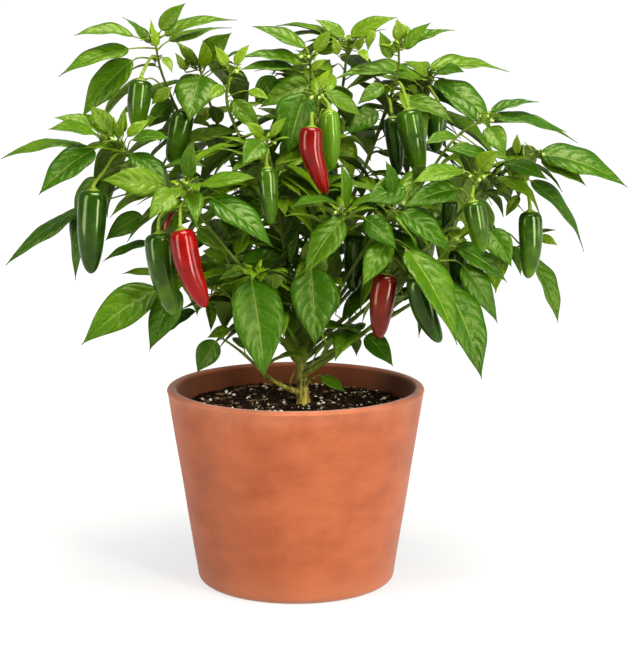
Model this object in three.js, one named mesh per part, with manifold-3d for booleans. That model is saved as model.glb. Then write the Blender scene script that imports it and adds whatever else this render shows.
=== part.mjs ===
// A chilli pepper plant with ripe and unripe fruits in a terracotta pot.
// Millimetres, +Z up. The pot's axis is the Z axis, the ground is z = 0, and the
// plant's front faces -Y.

import * as THREE from "three";
import { mergeVertices } from "three/addons/utils/BufferGeometryUtils.js";
import Module from "manifold-3d";

const wasm = await Module();
wasm.setup();

// Driving dimensions of the pot and its soil.
const POT_HEIGHT = 196.6;
const POT_TOP_RADIUS = 128;
const POT_BASE_RADIUS = 97.5;
const POT_WALL = 9.5;
const POT_FLOOR = 12;
const POT_CORNER = 8;
const LIP_ROUND = 4.2;
const POT_SIDES = 32;
const DRAIN_RADIUS = 6;
const DRAIN_SIDES = 12;
const DRAIN_COUNT = 3;
const DRAIN_AT = 46;
const SOIL_TOP = 176;
const SOIL_ROUGH = 2.6;
const SOIL_MOUND = 1.5;
const SEAT_GAP = 0.3;

// Driving dimensions of the plant.
const TRUNK_RADIUS = 7.4;
const TRUNK_SIDES = 8;
const TRUNK_DEPTH = 42;
const TRUNK_FOOT_X = 8;
const LIMB_RADIUS = 3.8;
const STEM_RADIUS = 2.6;
const STEM_TIP_RADIUS = 1.3;
const SHOOT_RADIUS = 1.9;
const STEM_SIDES = 4;
const STALK_SIDES = 5;
const PETIOLE_RADIUS = 1.35;
const RIB_DEPTH = 0.6;
const BLADE_RATIO = 0.46;
const BLADE_FOLD = 0.1;
const WIDEST_BLADE = 44;
const LEAST_TURN = 1.02;
const READ_ARCH = 0.11;
const FILL_ARCH = 0.1;
const CALYX_RADIUS = 6.2;
const SHOULDER_DEPTH = 2.4;
const FRUIT_SIDES = 7;
const MERGE_BELOW = 0.3;

// A standing viewer in front of the plant, to whom the points below are given.
const EYE_DISTANCE = 1900;
const EYE_HEIGHT = 616;

// The branches. Each is a path of points [x, z, y], where x and z are how the point
// appears in the plane of the pot's axis and y is its depth. The woody limb ends at the
// second point, where the green stem with its leaves begins. A branch of only two points
// is a young shoot and has no limb.
const STEMS = {
  top_left: [[4, 226, 2], [-26, 295, 22], [-72, 380, 36], [-108, 455, 32], [-129, 505, 22], [-135, 537, 16]],
  outer_left: [[3, 236, 0], [-42, 300, -14], [-104, 366, -30], [-152, 416, -40], [-184, 441, -46]],
  mid_left: [[3, 246, 4], [-30, 330, 46], [-62, 420, 64], [-84, 480, 60], [-93, 513, 54]],
  left_centre: [[3, 252, 0], [-16, 330, -10], [-45, 420, -16], [-66, 475, -20], [-62, 508, -25]],
  front_left: [[1, 230, -3], [-30, 284, -54], [-70, 334, -88], [-98, 372, -102], [-108, 394, -104]],
  low_left: [[0, 222, -2], [-24, 254, -34], [-62, 284, -62], [-98, 298, -74], [-122, 302, -78]],
  rim_left: [[0, 190, -1], [-24, 202, -18], [-52, 228, -42], [-74, 244, -58]],
  centre_left: [[2, 252, -2], [-9, 322, -44], [-20, 390, -70], [-28, 438, -80]],
  front_low: [[2, 234, -4], [-10, 262, -58], [-26, 292, -98], [-40, 309, -114]],
  centre_front: [[5, 240, -5], [18, 282, -52], [32, 330, -84], [46, 368, -95]],
  centre_high: [[5, 254, -3], [14, 330, -42], [20, 400, -62], [22, 455, -62], [22, 482, -54]],
  top_centre_left: [[3, 256, 2], [1, 330, 24], [8, 420, 24], [15, 488, 14], [14, 520, 8]],
  top_centre: [[5, 254, 2], [20, 340, 64], [38, 440, 76], [48, 508, 64], [50, 536, 58]],
  top_centre_right: [[6, 250, 3], [36, 336, 32], [70, 420, 30], [88, 470, 20], [99, 504, 12], [100, 530, 8]],
  top_right: [[6, 244, 2], [52, 330, 66], [95, 415, 86], [120, 475, 74], [130, 504, 66]],
  right: [[7, 238, 0], [60, 308, -18], [115, 384, -42], [155, 440, -54], [187, 460, -60]],
  outer_right: [[7, 230, 2], [80, 292, 6], [150, 360, -6], [204, 408, -14], [236, 425, -22]],
  right_low: [[7, 222, -2], [72, 276, -40], [128, 332, -68], [166, 374, -80], [178, 402, -82]],
  centre_right: [[6, 230, -4], [40, 288, -50], [74, 340, -84], [98, 376, -94]],
  low_right: [[7, 206, -3], [54, 238, -38], [98, 276, -72], [134, 312, -92], [152, 338, -98]],
  outer_right_low: [[8, 214, 3], [80, 258, 26], [150, 300, 24], [204, 328, 10], [230, 340, 2]],
  low_shoot: [[13, 200, -9], [19, 204, -14]],
  back_left: [[4, 238, 2], [-40, 302, 72], [-92, 368, 120], [-136, 412, 140]],
  back_centre: [[5, 248, 2], [8, 320, 92], [14, 392, 146], [10, 446, 156]],
  back_right: [[6, 236, 2], [60, 300, 84], [114, 366, 128], [158, 412, 142]],
  back_low: [[4, 224, 2], [-16, 262, 84], [-30, 292, 136], [-36, 312, 160]],
};

// Leaves read one by one: stem, base [x, z, y], tip [x, z, y], width as it appears
// from the front, and how high the blade arches where it isn't the usual amount.
const LEAVES = [
  ["top_left", [-156, 540, 10], [-213, 541, -5], 12],
  ["top_left", [-161, 528, 5], [-229, 501, -25], 18],
  ["top_left", [-157, 517, 0], [-207, 462, -30], 30],
  ["top_left", [-140, 534, 25], [-166, 559, 30], 9],
  ["top_left", [-138, 541, 15], [-139, 557, 15], 5],
  ["top_left", [-129, 546, 15], [-105, 572, 10], 17],
  ["top_left", [-126, 541, 20], [-56, 556, 25], 12],
  ["top_left", [-122, 536, 34], [-61, 549, 56], 8],
  ["top_left", [-121, 490, 8], [-140, 474, -2], 14],
  ["top_left", [-120, 476, 4], [-143, 452, -12], 20],
  ["top_left", [-112, 440, 8], [-50, 449, -20], 14],
  ["top_left", [-118, 430, 6], [-94, 442, -14], 10],
  ["top_left", [-136, 462, 12], [-163, 443, 4], 12],
  ["outer_left", [-190, 449, -46], [-234, 461, -55], 12],
  ["outer_left", [-191, 443, -52], [-240, 449, -78], 12],
  ["outer_left", [-180, 447, -46], [-200, 473, -50], 20],
  ["outer_left", [-176, 446, -40], [-176, 463, -42], 6],
  ["outer_left", [-167, 447, -34], [-165, 472, -34], 9],
  ["outer_left", [-201, 432, -42], [-287, 421, -46], 9, 15],
  ["outer_left", [-196, 430, -58], [-251, 385, -92], 28],
  ["outer_left", [-190, 402, -22], [-217, 302, -30], 24],
  ["outer_left", [-189, 380, -14], [-285, 317, -20], 13, 14],
  ["outer_left", [-158, 440, -50], [-121, 440, -66], 12],
  ["outer_left", [-160, 426, -52], [-124, 392, -84], 22],
  ["outer_left", [-150, 366, -26], [-187, 341, -28], 22],
  ["outer_left", [-142, 340, -38], [-190, 320, -48], 9],
  ["mid_left", [-96, 512, 56], [-116, 537, 62], 12],
  ["mid_left", [-88, 518, 50], [-61, 544, 36], 24],
  ["mid_left", [-92, 503, 30], [-103, 457, 0], 42],
  ["left_centre", [-62, 478, -14], [-33, 445, -26], 20],
  ["left_centre", [-66, 510, -24], [-78, 531, -22], 11],
  ["left_centre", [-58, 512, -26], [-44, 532, -24], 10],
  ["left_centre", [-70, 492, -26], [-84, 478, -46], 14],
  ["front_left", [-129, 392, -100], [-190, 399, -118], 28],
  ["front_left", [-117, 387, -118], [-144, 360, -142], 24],
  ["front_left", [-96, 352, -84], [-73, 329, -86], 18],
  ["front_left", [-83, 382, -112], [-22, 332, -140], 28],
  ["front_left", [-94, 394, -106], [-38, 401, -118], 14],
  ["front_left", [-104, 401, -106], [-99, 440, -116], 16],
  ["low_left", [-136, 292, -80], [-212, 236, -104], 38],
  ["low_left", [-115, 292, -72], [-145, 230, -80], 30],
  ["low_left", [-99, 270, -60], [-135, 244, -54], 12],
  ["low_left", [-88, 282, -52], [-84, 250, -50], 10],
  ["low_left", [-140, 308, -56], [-171, 308, -52], 8],
  ["low_left", [-68, 322, -66], [-92, 330, -84], 19],
  ["low_left", [-62, 316, -54], [-88, 294, -66], 19],
  ["low_left", [-52, 318, -50], [-5, 322, -44], 24],
  ["rim_left", [-78, 240, -62], [-98, 208, -62], 24],
  ["rim_left", [-66, 252, -58], [-88, 243, -72], 12],
  ["centre_left", [-33, 435, -84], [-52, 414, -104], 24],
  ["centre_left", [-24, 442, -80], [-8, 461, -84], 10],
  ["centre_left", [-32, 442, -80], [-50, 456, -90], 12],
  ["centre_left", [-38, 350, -44], [-6, 318, -44], 24],
  ["front_low", [-44, 301, -118], [-31, 200, -142], 50],
  ["front_low", [-50, 312, -110], [-76, 300, -128], 12],
  ["centre_front", [46, 361, -100], [8, 303, -124], 30],
  ["centre_front", [4, 357, -68], [-5, 317, -76], 10],
  ["centre_front", [40, 376, -94], [-5, 371, -110], 10],
  ["centre_front", [50, 372, -96], [44, 416, -102], 11],
  ["centre_front", [15, 314, -92], [19, 233, -108], 46],
  ["centre_front", [68, 362, -98], [100, 330, -120], 24],
  ["centre_high", [10, 484, -60], [-7, 425, -88], 44],
  ["centre_high", [30, 484, -52], [65, 461, -46], 16],
  ["centre_high", [24, 490, -52], [34, 508, -50], 8],
  ["top_centre_left", [6, 514, 4], [-59, 519, 0], 12],
  ["top_centre_left", [4, 506, -4], [-54, 508, -26], 10],
  ["top_centre_left", [-20, 502, 20], [-39, 472, 14], 22],
  ["top_centre_left", [10, 529, 10], [-42, 550, 16], 14],
  ["top_centre_left", [20, 525, 6], [36, 547, 2], 14],
  ["top_centre_left", [14, 494, 0], [-35, 471, -12], 27],
  ["top_centre", [47, 540, 60], [19, 557, 66], 13],
  ["top_centre", [54, 540, 56], [98, 559, 52], 17],
  ["top_centre", [60, 528, 50], [68, 542, 48], 8],
  ["top_centre", [40, 530, 66], [18, 524, 84], 12],
  ["top_centre_right", [92, 519, 16], [81, 546, 22], 14],
  ["top_centre_right", [101, 536, 6], [98, 557, 2], 15],
  ["top_centre_right", [110, 535, 6], [154, 546, 2], 10],
  ["top_centre_right", [86, 493, 10], [60, 474, 0], 16],
  ["top_centre_right", [108, 478, 2], [156, 454, -20], 18],
  ["top_centre_right", [80, 468, 8], [50, 445, 0], 22],
  ["top_right", [122, 500, 50], [35, 498, 22], 18, 17],
  ["top_right", [130, 511, 62], [207, 507, 54], 15],
  ["top_right", [136, 506, 58], [164, 506, 36], 12],
  ["top_right", [136, 498, 52], [192, 448, 14], 27, 14],
  ["top_right", [118, 484, 68], [107, 494, 50], 8],
  ["right", [180, 456, -52], [143, 483, -30], 14],
  ["right", [190, 467, -56], [237, 476, -56], 9],
  ["right", [191, 462, -62], [275, 436, -72], 11, 11],
  ["right", [193, 456, -52], [264, 447, -40], 9],
  ["right", [187, 451, -66], [206, 423, -88], 22],
  ["right", [156, 443, -60], [125, 434, -78], 12],
  ["right", [174, 430, -58], [146, 428, -64], 14],
  ["outer_right", [238, 426, -26], [325, 393, -42], 27, 12],
  ["outer_right", [240, 421, -32], [285, 394, -58], 18],
  ["outer_right", [206, 416, -30], [247, 400, -54], 15],
  ["outer_right", [198, 403, -32], [236, 378, -66], 14],
  ["outer_right", [230, 400, -6], [284, 330, -16], 14, 14],
  ["outer_right", [216, 426, -18], [216, 446, -18], 9],
  ["right_low", [180, 410, -86], [198, 428, -96], 20],
  ["right_low", [160, 391, -86], [105, 372, -108], 24],
  ["right_low", [162, 409, -86], [114, 396, -112], 18],
  ["right_low", [190, 350, -78], [213, 313, -98], 27],
  ["centre_right", [103, 368, -102], [152, 327, -128], 24],
  ["centre_right", [92, 340, -98], [66, 293, -118], 26],
  ["centre_right", [106, 392, -94], [68, 377, -118], 28],
  ["centre_right", [95, 386, -95], [88, 418, -100], 14],
  ["centre_right", [110, 330, -106], [160, 234, -134], 32],
  ["low_right", [158, 334, -94], [209, 298, -98], 20],
  ["low_right", [164, 316, -88], [200, 257, -98], 25],
  ["low_right", [147, 297, -102], [185, 200, -128], 35],
  ["low_right", [70, 246, -42], [97, 214, -62], 22],
  ["outer_right_low", [231, 326, 2], [260, 259, -6], 17],
  ["outer_right_low", [240, 345, 0], [258, 336, -6], 10],
  ["outer_right_low", [212, 336, -4], [222, 306, -24], 13],
  ["low_shoot", [24, 206, -17], [50, 188, -30], 12],
];

// Fruits: stem, colour, the point where the stalk leaves for the fruit, the fruit's
// axis from the calyx to the tip, and its width.
const FRUITS = [
  ["top_left", "green", [-142, 516, 6], [[-149, 498, -6], [-152, 474, -8], [-154, 450, -8]], 23],
  ["mid_left", "green", [-104, 484, 20], [[-108, 468, 4], [-114, 440, 0], [-122, 418, 0]], 23],
  ["outer_left", "deep", [-186, 410, -62], [[-197, 390, -76], [-200, 350, -78], [-201, 308, -76]], 28],
  ["front_left", "green", [-132, 364, -112], [[-134, 347, -118], [-131, 312, -120], [-120, 266, -116]], 28],
  ["front_left", "red", [-112, 372, -132], [[-112, 350, -142], [-105, 312, -146], [-89, 273, -142]], 25],
  ["centre_left", "green", [-28, 424, -92], [[-28, 411, -98], [-26, 384, -100], [-24, 356, -98]], 19],
  ["centre_high", "red", [16, 464, -88], [[16, 451, -98], [16, 426, -100], [30, 386, -96]], 22],
  ["centre_high", "light", [29, 478, -70], [[33, 467, -74], [35, 440, -72], [36, 411, -70]], 18],
  ["top_centre_right", "green", [104, 490, -22], [[110, 469, -34], [115, 440, -36], [122, 405, -34]], 25],
  ["top_centre_right", "deep", [92, 476, 2], [[94, 462, -6], [97, 436, -6], [100, 406, -6]], 18],
  ["right_low", "green", [174, 390, -100], [[174, 378, -108], [179, 354, -110], [184, 328, -108]], 20],
  ["outer_right", "green", [226, 396, -40], [[230, 369, -48], [231, 336, -50], [229, 303, -48]], 23],
  ["centre_front", "deep", [54, 362, -58], [[59, 347, -46], [58, 320, -44], [56, 290, -42]], 22],
  ["low_right", "brown", [96, 322, -96], [[90, 306, -108], [85, 276, -110], [82, 242, -108]], 24],
  ["low_right", "deep", [122, 316, -108], [[120, 303, -116], [127, 270, -118], [143, 238, -116]], 23],
  ["right_low", "deep", [162, 350, -58], [[160, 331, -60], [160, 308, -60], [159, 284, -60]], 18],
  ["right_low", "deep", [150, 392, -60], [[152, 380, -60], [150, 364, -58], [148, 346, -56]], 15],
  ["top_right", "deep", [134, 486, 40], [[138, 474, 30], [137, 450, 28], [136, 428, 28]], 20],
  ["back_left", "red", [-120, 392, 146], [[-122, 376, 158], [-124, 344, 160], [-122, 316, 158]], 24],
  ["back_centre", "green", [24, 404, 168], [[28, 388, 178], [30, 356, 180], [26, 326, 178]], 23],
  ["back_right", "green", [130, 388, 150], [[128, 368, 162], [126, 336, 164], [122, 308, 162]], 25],
];

const FRUIT_COLOURS = { light: 0x3f7a1e, green: 0x1f5a14, deep: 0x123d0e, red: 0xc01018, brown: 0x6e2412 };

// Seeded chance, the same on every run.
let state = 20481;
function chance() {
  state = (state * 1664525 + 1013904223) % 4294967296;
  return state / 4294967296;
}

// The point that appears at x, z to the viewer, at depth y.
function seen(x, z, y) {
  const s = (EYE_DISTANCE + y) / EYE_DISTANCE;
  return new THREE.Vector3(x * s, y, EYE_HEIGHT + (z - EYE_HEIGHT) * s);
}

function toward(a, b, share) {
  return a.clone().lerp(b, share);
}

function across(v, axis) {
  return v.clone().addScaledVector(axis, -v.dot(axis));
}

// A closed skin over rings of equally many points. A ring of one point closes to a tip.
function skin(rings) {
  const points = [];
  const starts = [];
  for (const ring of rings) {
    starts.push(points.length);
    points.push(...ring);
  }
  const faces = [];
  for (let i = 0; i + 1 < rings.length; i++) {
    const a = starts[i];
    const b = starts[i + 1];
    const n = Math.max(rings[i].length, rings[i + 1].length);
    for (let k = 0; k < n; k++) {
      const next = (k + 1) % n;
      if (rings[i + 1].length === 1) faces.push([a + k, a + next, b]);
      else if (rings[i].length === 1) faces.push([a, b + next, b + k]);
      else faces.push([a + k, a + next, b + next], [a + k, b + next, b + k]);
    }
  }
  const last = rings.length - 1;
  for (let k = 1; k + 1 < rings[0].length; k++) {
    faces.push([starts[0], starts[0] + k + 1, starts[0] + k]);
  }
  for (let k = 1; k + 1 < rings[last].length; k++) {
    faces.push([starts[last], starts[last] + k, starts[last] + k + 1]);
  }
  return solidOf(points, faces);
}

// A manifold solid from points and faces, turned outward if it is inside out.
function solidOf(points, faces) {
  const flat = new Float32Array(points.flatMap((p) => [p.x, p.y, p.z]));
  const geometry = new THREE.BufferGeometry();
  geometry.setAttribute("position", new THREE.BufferAttribute(flat, 3));
  geometry.setIndex(faces.flat());
  return fromGeometry(geometry);
}

function fromGeometry(source) {
  const bare = new THREE.BufferGeometry();
  bare.setAttribute("position", source.getAttribute("position"));
  bare.setIndex(source.index);
  const merged = mergeVertices(bare, 1e-4);
  const vertProperties = new Float32Array(merged.attributes.position.array);
  const triVerts = new Uint32Array(merged.index.array);
  const made = new wasm.Manifold(new wasm.Mesh({ numProp: 3, vertProperties, triVerts }));
  if (made.volume() >= 0) return made;
  for (let i = 0; i < triVerts.length; i += 3) {
    const kept = triVerts[i + 1];
    triVerts[i + 1] = triVerts[i + 2];
    triVerts[i + 2] = kept;
  }
  return new wasm.Manifold(new wasm.Mesh({ numProp: 3, vertProperties, triVerts }));
}

// Rings round a path: a frame carried along it without twist.
function sweep(path, radii, sides) {
  const rings = [];
  let side = null;
  for (let i = 0; i < path.length; i++) {
    const before = path[Math.max(0, i - 1)];
    const after = path[Math.min(path.length - 1, i + 1)];
    const along = after.clone().sub(before).normalize();
    if (!side) side = Math.abs(along.x) < 0.9 ? new THREE.Vector3(1, 0, 0) : new THREE.Vector3(0, 1, 0);
    side = across(side, along).normalize();
    const up = along.clone().cross(side);
    const ring = [];
    for (let k = 0; k < sides; k++) {
      const a = (2 * Math.PI * k) / sides;
      const p = path[i].clone();
      p.addScaledVector(side, radii[i] * Math.cos(a)).addScaledVector(up, radii[i] * Math.sin(a));
      ring.push(p);
    }
    rings.push(ring);
  }
  return rings;
}

// A ring moved into the plane square to an axis at its centre.
function squared(ring, centre, axis, radius) {
  return ring.map((p) => {
    const off = across(p.clone().sub(centre), axis).normalize();
    return centre.clone().addScaledVector(off, radius);
  });
}

// A point of a smooth curve through given points, at t from 0 to 1 after point i.
function between(p, i, t) {
  const a = p[Math.max(0, i - 1)];
  const b = p[i];
  const c = p[Math.min(p.length - 1, i + 1)];
  const d = p[Math.min(p.length - 1, i + 2)];
  const out = new THREE.Vector3();
  for (const axis of ["x", "y", "z"]) {
    const m0 = (c[axis] - a[axis]) / 2;
    const m1 = (d[axis] - b[axis]) / 2;
    const t2 = t * t;
    const t3 = t2 * t;
    out[axis] = (2 * t3 - 3 * t2 + 1) * b[axis] + (t3 - 2 * t2 + t) * m0
      + (-2 * t3 + 3 * t2) * c[axis] + (t3 - t2) * m1;
  }
  return out;
}

// A stretch of that curve as points, so many from each given point to the next.
function drawn(points, from, to, steps) {
  const path = [];
  for (let i = from; i < to; i++) {
    for (let k = 0; k < steps; k++) path.push(between(points, i, k / steps));
  }
  path.push(points[to].clone());
  return path;
}

// A leaf's middle line: from the base up over an arch and down to the tip.
function middle(leaf, s) {
  const q = 1 - s;
  return leaf.base.clone().multiplyScalar(q * q)
    .addScaledVector(leaf.crest, 2 * q * s)
    .addScaledVector(leaf.tip, s * s);
}

// Half the width of the blade at s, as a share of its greatest half width.
const OUTLINE = [[0, 0.05], [0.13, 0.66], [0.36, 1], [0.68, 0.64], [1, 0]];

function halfWidth(s) {
  for (let i = 0; i + 1 < OUTLINE.length; i++) {
    const [s0, w0] = OUTLINE[i];
    const [s1, w1] = OUTLINE[i + 1];
    if (s <= s1) return w0 + ((w1 - w0) * (s - s0)) / (s1 - s0);
  }
  return 0;
}

// A point of the blade's middle surface: s along it, e from -1 to 1 across it.
function onBlade(leaf, s, e) {
  const p = middle(leaf, s);
  const along = middle(leaf, Math.min(1, s + 0.02)).sub(middle(leaf, Math.max(0, s - 0.02))).normalize();
  const face = across(leaf.face, along).normalize();
  const side = along.clone().cross(face);
  const half = (leaf.width / 2) * halfWidth(s);
  return p.addScaledVector(side, half * e).addScaledVector(face, BLADE_FOLD * half * Math.abs(e));
}

// A leaf from its base, tip, the way its face looks, its width and its arch.
function makeLeaf(stem, root, base, tip, face, width, arch) {
  const along = tip.clone().sub(base);
  const length = along.length();
  along.normalize();
  const up = across(new THREE.Vector3(0, 0, 1), along);
  const rise = up.add(face).normalize();
  const crest = toward(base, tip, 0.5).addScaledVector(rise, 2 * arch);
  return { stem, root, base, tip, crest, face, width, length };
}

// A leaf read from the front: its face turns until it looks as wide as given.
function readLeaf(stem, root, base, tip, seenWidth, arch) {
  const along = tip.clone().sub(base);
  const length = along.length();
  along.normalize();
  const width = Math.max(seenWidth * LEAST_TURN, Math.min(WIDEST_BLADE, length * BLADE_RATIO));
  const toEye = new THREE.Vector3(0, -EYE_DISTANCE, EYE_HEIGHT).sub(base).normalize();
  const front = across(toEye, along).normalize();
  const turned = front.clone().cross(along);
  if (turned.z < 0) turned.negate();
  const c = Math.min(1, seenWidth / width);
  const face = front.multiplyScalar(c).addScaledVector(turned, Math.sqrt(1 - c * c)).normalize();
  return makeLeaf(stem, root, base, tip, face, width, arch ?? READ_ARCH * length);
}

// Balls that stand for what is already placed, in a grid of cells.
const CELL = 24;
const BALL_RADIUS = 3.5;
const STALK_BALL = 2;
const STEM_BALL = 2.6;
const OTHER_STEM_GAP = 1.5;
const cells = new Map();

function cellOf(v) {
  return Math.floor(v / CELL);
}

function keep(p, r, stem, kind, s) {
  const key = cellOf(p.x) + "," + cellOf(p.y) + "," + cellOf(p.z);
  if (!cells.has(key)) cells.set(key, []);
  cells.get(key).push({ p, r, stem, kind, s });
}

// Whether a ball of a new leaf is clear of all others that it may not touch.
function isClear(p, r, stem, s) {
  for (let i = cellOf(p.x) - 1; i <= cellOf(p.x) + 1; i++) {
    for (let j = cellOf(p.y) - 1; j <= cellOf(p.y) + 1; j++) {
      for (let k = cellOf(p.z) - 1; k <= cellOf(p.z) + 1; k++) {
        for (const ball of cells.get(i + "," + j + "," + k) ?? []) {
          const own = ball.stem === stem;
          if (own && ball.kind !== "fruit" && (s < 0.3 || ball.s < 0.2)) continue;
          const reach = r + ball.r + (own ? 0 : OTHER_STEM_GAP);
          if (p.distanceToSquared(ball.p) < reach * reach) return false;
        }
      }
    }
  }
  return true;
}

// The balls of a leaf: four along the stalk, then at each step of the blade one at the
// midrib, or five across where the blade is wide.
function ballsOf(leaf) {
  const balls = [];
  for (const t of [0.3, 0.5, 0.7, 0.9]) {
    balls.push({ p: toward(leaf.root, leaf.base, t), r: STALK_BALL, s: 0 });
  }
  const steps = Math.max(4, Math.round(leaf.length / 11));
  for (let i = 0; i <= steps; i++) {
    const s = 0.04 + (0.96 * i) / steps;
    const wide = (leaf.width / 2) * halfWidth(s);
    for (const e of wide > 5 ? [-0.9, -0.45, 0, 0.45, 0.9] : [0]) {
      balls.push({ p: onBlade(leaf, s, e), r: BALL_RADIUS, s });
    }
  }
  return balls;
}

// What the leaves and fruits placed by hand cover from the front, in square cells, and
// how near it is, and the cells that any leaf fills.
const VIEW_CELL = 12;
const cover = new Map();
const filled = new Set();

function coverKey(p) {
  const s = EYE_DISTANCE / (EYE_DISTANCE + p.y);
  const x = p.x * s;
  const z = EYE_HEIGHT + (p.z - EYE_HEIGHT) * s;
  return Math.floor(x / VIEW_CELL) + "," + Math.floor(z / VIEW_CELL);
}

function isBehind(p) {
  const near = cover.get(coverKey(p));
  return near === undefined || p.y > near;
}

function place(leaf, byHand) {
  for (const ball of ballsOf(leaf)) {
    keep(ball.p, ball.r, leaf.stem, "leaf", ball.s);
    const key = coverKey(ball.p);
    filled.add(key);
    if (!byHand || ball.s < 0.1) continue;
    cover.set(key, Math.min(cover.get(key) ?? Infinity, ball.p.y));
  }
  leaves.push(leaf);
}

const leaves = [];
const stems = {};

// Branch paths in true space, and their balls.
for (const [name, path] of Object.entries(STEMS)) {
  const points = path.map(([x, z, y]) => seen(x, z, y));
  const last = points.length - 1;
  const wood = last > 1 ? 1 : 0;
  const limb = wood ? drawn(points, 0, wood, 2) : [];
  const green = drawn(points, wood, last, 2);
  const fine = drawn(points, 0, last, 12);
  stems[name] = { points, wood, limb, green };
  for (const p of fine) keep(p, STEM_BALL, name, "stem", 0);
}

// Points close together along a green stem, on its drawn pieces.
function along(stem) {
  const { green } = stems[stem];
  const line = [];
  for (let i = 0; i + 1 < green.length; i++) {
    for (let k = 0; k < 6; k++) line.push(toward(green[i], green[i + 1], k / 6));
  }
  line.push(green[green.length - 1].clone());
  return line;
}

// Where the stalk to a base point starts: the nearest point of the stem, then back
// towards the trunk by a point for each ROOT_BACK of distance.
const ROOT_BACK = 12;

function rootOn(stem, base) {
  const line = along(stem);
  let best = 0;
  for (let i = 0; i < line.length; i++) {
    if (line[i].distanceToSquared(base) < line[best].distanceToSquared(base)) best = i;
  }
  const back = Math.round(line[best].distanceTo(base) / ROOT_BACK);
  const at = Math.min(Math.max(3, best - back), line.length - 2);
  return line[Math.max(0, at)].clone();
}

// Fruits, each with its stalk. The last three hang on the back.
const FRONT_FRUITS = 18;
const fruits = FRUITS.map(([stem, colour, start, axis, width], i) => {
  const points = axis.map(([x, z, y]) => seen(x, z, y));
  const from = seen(...start);
  const fruit = { name: "fruit_" + String(i + 1).padStart(2, "0"), stem, colour, points, from, width };
  fruit.root = rootOn(stem, from);
  for (const p of drawn(points, 0, points.length - 1, 4)) {
    keep(p, width / 2, stem, "fruit", 1);
    const key = coverKey(p);
    if (i < FRONT_FRUITS) cover.set(key, Math.min(cover.get(key) ?? Infinity, p.y - width / 2));
  }
  for (const t of [0.3, 0.65, 1]) keep(toward(fruit.root, from, t), STALK_BALL, stem, "fruit", 1);
  keep(points[0], CALYX_RADIUS, stem, "fruit", 1);
  return fruit;
});

// Leaves placed by hand keep their look from the front, and move in depth until clear.
const DEPTH_SHIFTS = [0, -9, 9, -18, 18, -27, 27, -36, 36, -48, 48];

for (const [stem, b, t, width, arch] of LEAVES) {
  for (const shift of DEPTH_SHIFTS) {
    const base = seen(b[0], b[1], b[2] + shift / 3);
    const tip = seen(t[0], t[1], t[2] + shift);
    const tried = readLeaf(stem, rootOn(stem, base), base, tip, width, arch);
    if (ballsOf(tried).every((ball) => isClear(ball.p, ball.r, stem, ball.s))) {
      place(tried, true);
      break;
    }
  }
}

// Leaves that fill the bush: so many along each green stem, hanging outward. Of the ways
// tried for a leaf, the one is kept that covers most of what is still bare from the front
// and lies inside a rounded crown, behind what is placed by hand, and clear of all else.
const CROWN = { x: 12, y: 6, z: 388, rx: 236, ry: 205, rz: 162 };
const FILL = {
  centre_high: 7, centre_left: 6, centre_front: 5, centre_right: 5, left_centre: 6,
  top_centre_left: 6, top_centre_right: 5, right_low: 4, front_left: 3, low_right: 3, right: 4,
  mid_left: 5, top_centre: 5, top_right: 5, top_left: 4, outer_left: 2, outer_right: 3,
  outer_right_low: 4, low_left: 2, back_left: 7, back_centre: 7, back_right: 7, back_low: 3,
};

const FILL_TRIES = 36;

function inCrown(p) {
  const a = (p.x - CROWN.x) / CROWN.rx;
  const b = (p.y - CROWN.y) / CROWN.ry;
  const c = (p.z - CROWN.z) / CROWN.rz;
  return a * a + b * b + c * c < 1;
}

function fillLeaf(stem, root, turn, pitch, stalk, length) {
  const out = new THREE.Vector3(Math.cos(turn), Math.sin(turn), 0);
  const base = root.clone().addScaledVector(out, stalk * 0.85);
  base.z += stalk * 0.5;
  const tip = base.clone().addScaledVector(out, length * Math.cos(pitch));
  tip.z += length * Math.sin(pitch);
  const way = tip.clone().sub(base).normalize();
  const face = across(new THREE.Vector3(0.3 * out.x, 0.3 * out.y - 0.15, 1), way).normalize();
  return makeLeaf(stem, root.clone(), base, tip, face, length * BLADE_RATIO, FILL_ARCH * length);
}

for (const [stem, count] of Object.entries(FILL)) {
  const line = along(stem);
  for (let i = 0; i < count; i++) {
    const at = 0.1 + (0.88 * (i + 0.5)) / count;
    const root = line[Math.round(at * (line.length - 1))];
    const length = 66 + 30 * chance();
    const stalk = 16 + 12 * chance();
    const start = Math.atan2(root.y - CROWN.y, root.x - CROWN.x) + 3.6 * (chance() - 0.5);
    const pitch = -0.15 - 0.85 * chance();
    let best = null;
    let most = 0;
    for (let n = 0; n < FILL_TRIES; n++) {
      const turn = start + (n % 2 ? 0.26 : -0.26) * Math.ceil(n / 2);
      const low = n % 3 ? pitch - 0.15 * (n % 3) : pitch;
      const leaf = fillLeaf(stem, root, turn, low, stalk, length * (1 - 0.008 * n));
      const balls = ballsOf(leaf);
      const bare = balls.map((ball) => coverKey(ball.p)).filter((key) => !filled.has(key));
      const gain = 1 + new Set(bare).size;
      if (gain <= most) continue;
      const fits = balls.every((ball) => inCrown(ball.p) && isBehind(ball.p)
        && isClear(ball.p, ball.r, stem, ball.s));
      if (fits) {
        best = leaf;
        most = gain;
      }
    }
    if (best) place(best, false);
  }
}

// Three corners round a point of a leaf's stalk: two above and one below.
function stalkRing(p, side, face) {
  return [
    p.clone().addScaledVector(side, -PETIOLE_RADIUS * 0.87).addScaledVector(face, PETIOLE_RADIUS / 2),
    p.clone().addScaledVector(side, PETIOLE_RADIUS * 0.87).addScaledVector(face, PETIOLE_RADIUS / 2),
    p.clone().addScaledVector(face, -PETIOLE_RADIUS),
  ];
}

// The solid of a leaf: a stalk that widens into a blade with a midrib below. A long
// stalk bends upward at its middle, and the ring at the blade's base halves the turn
// between stalk and blade.
const LONG_STALK = 45;
const STALK_BEND = 0.05;

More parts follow.
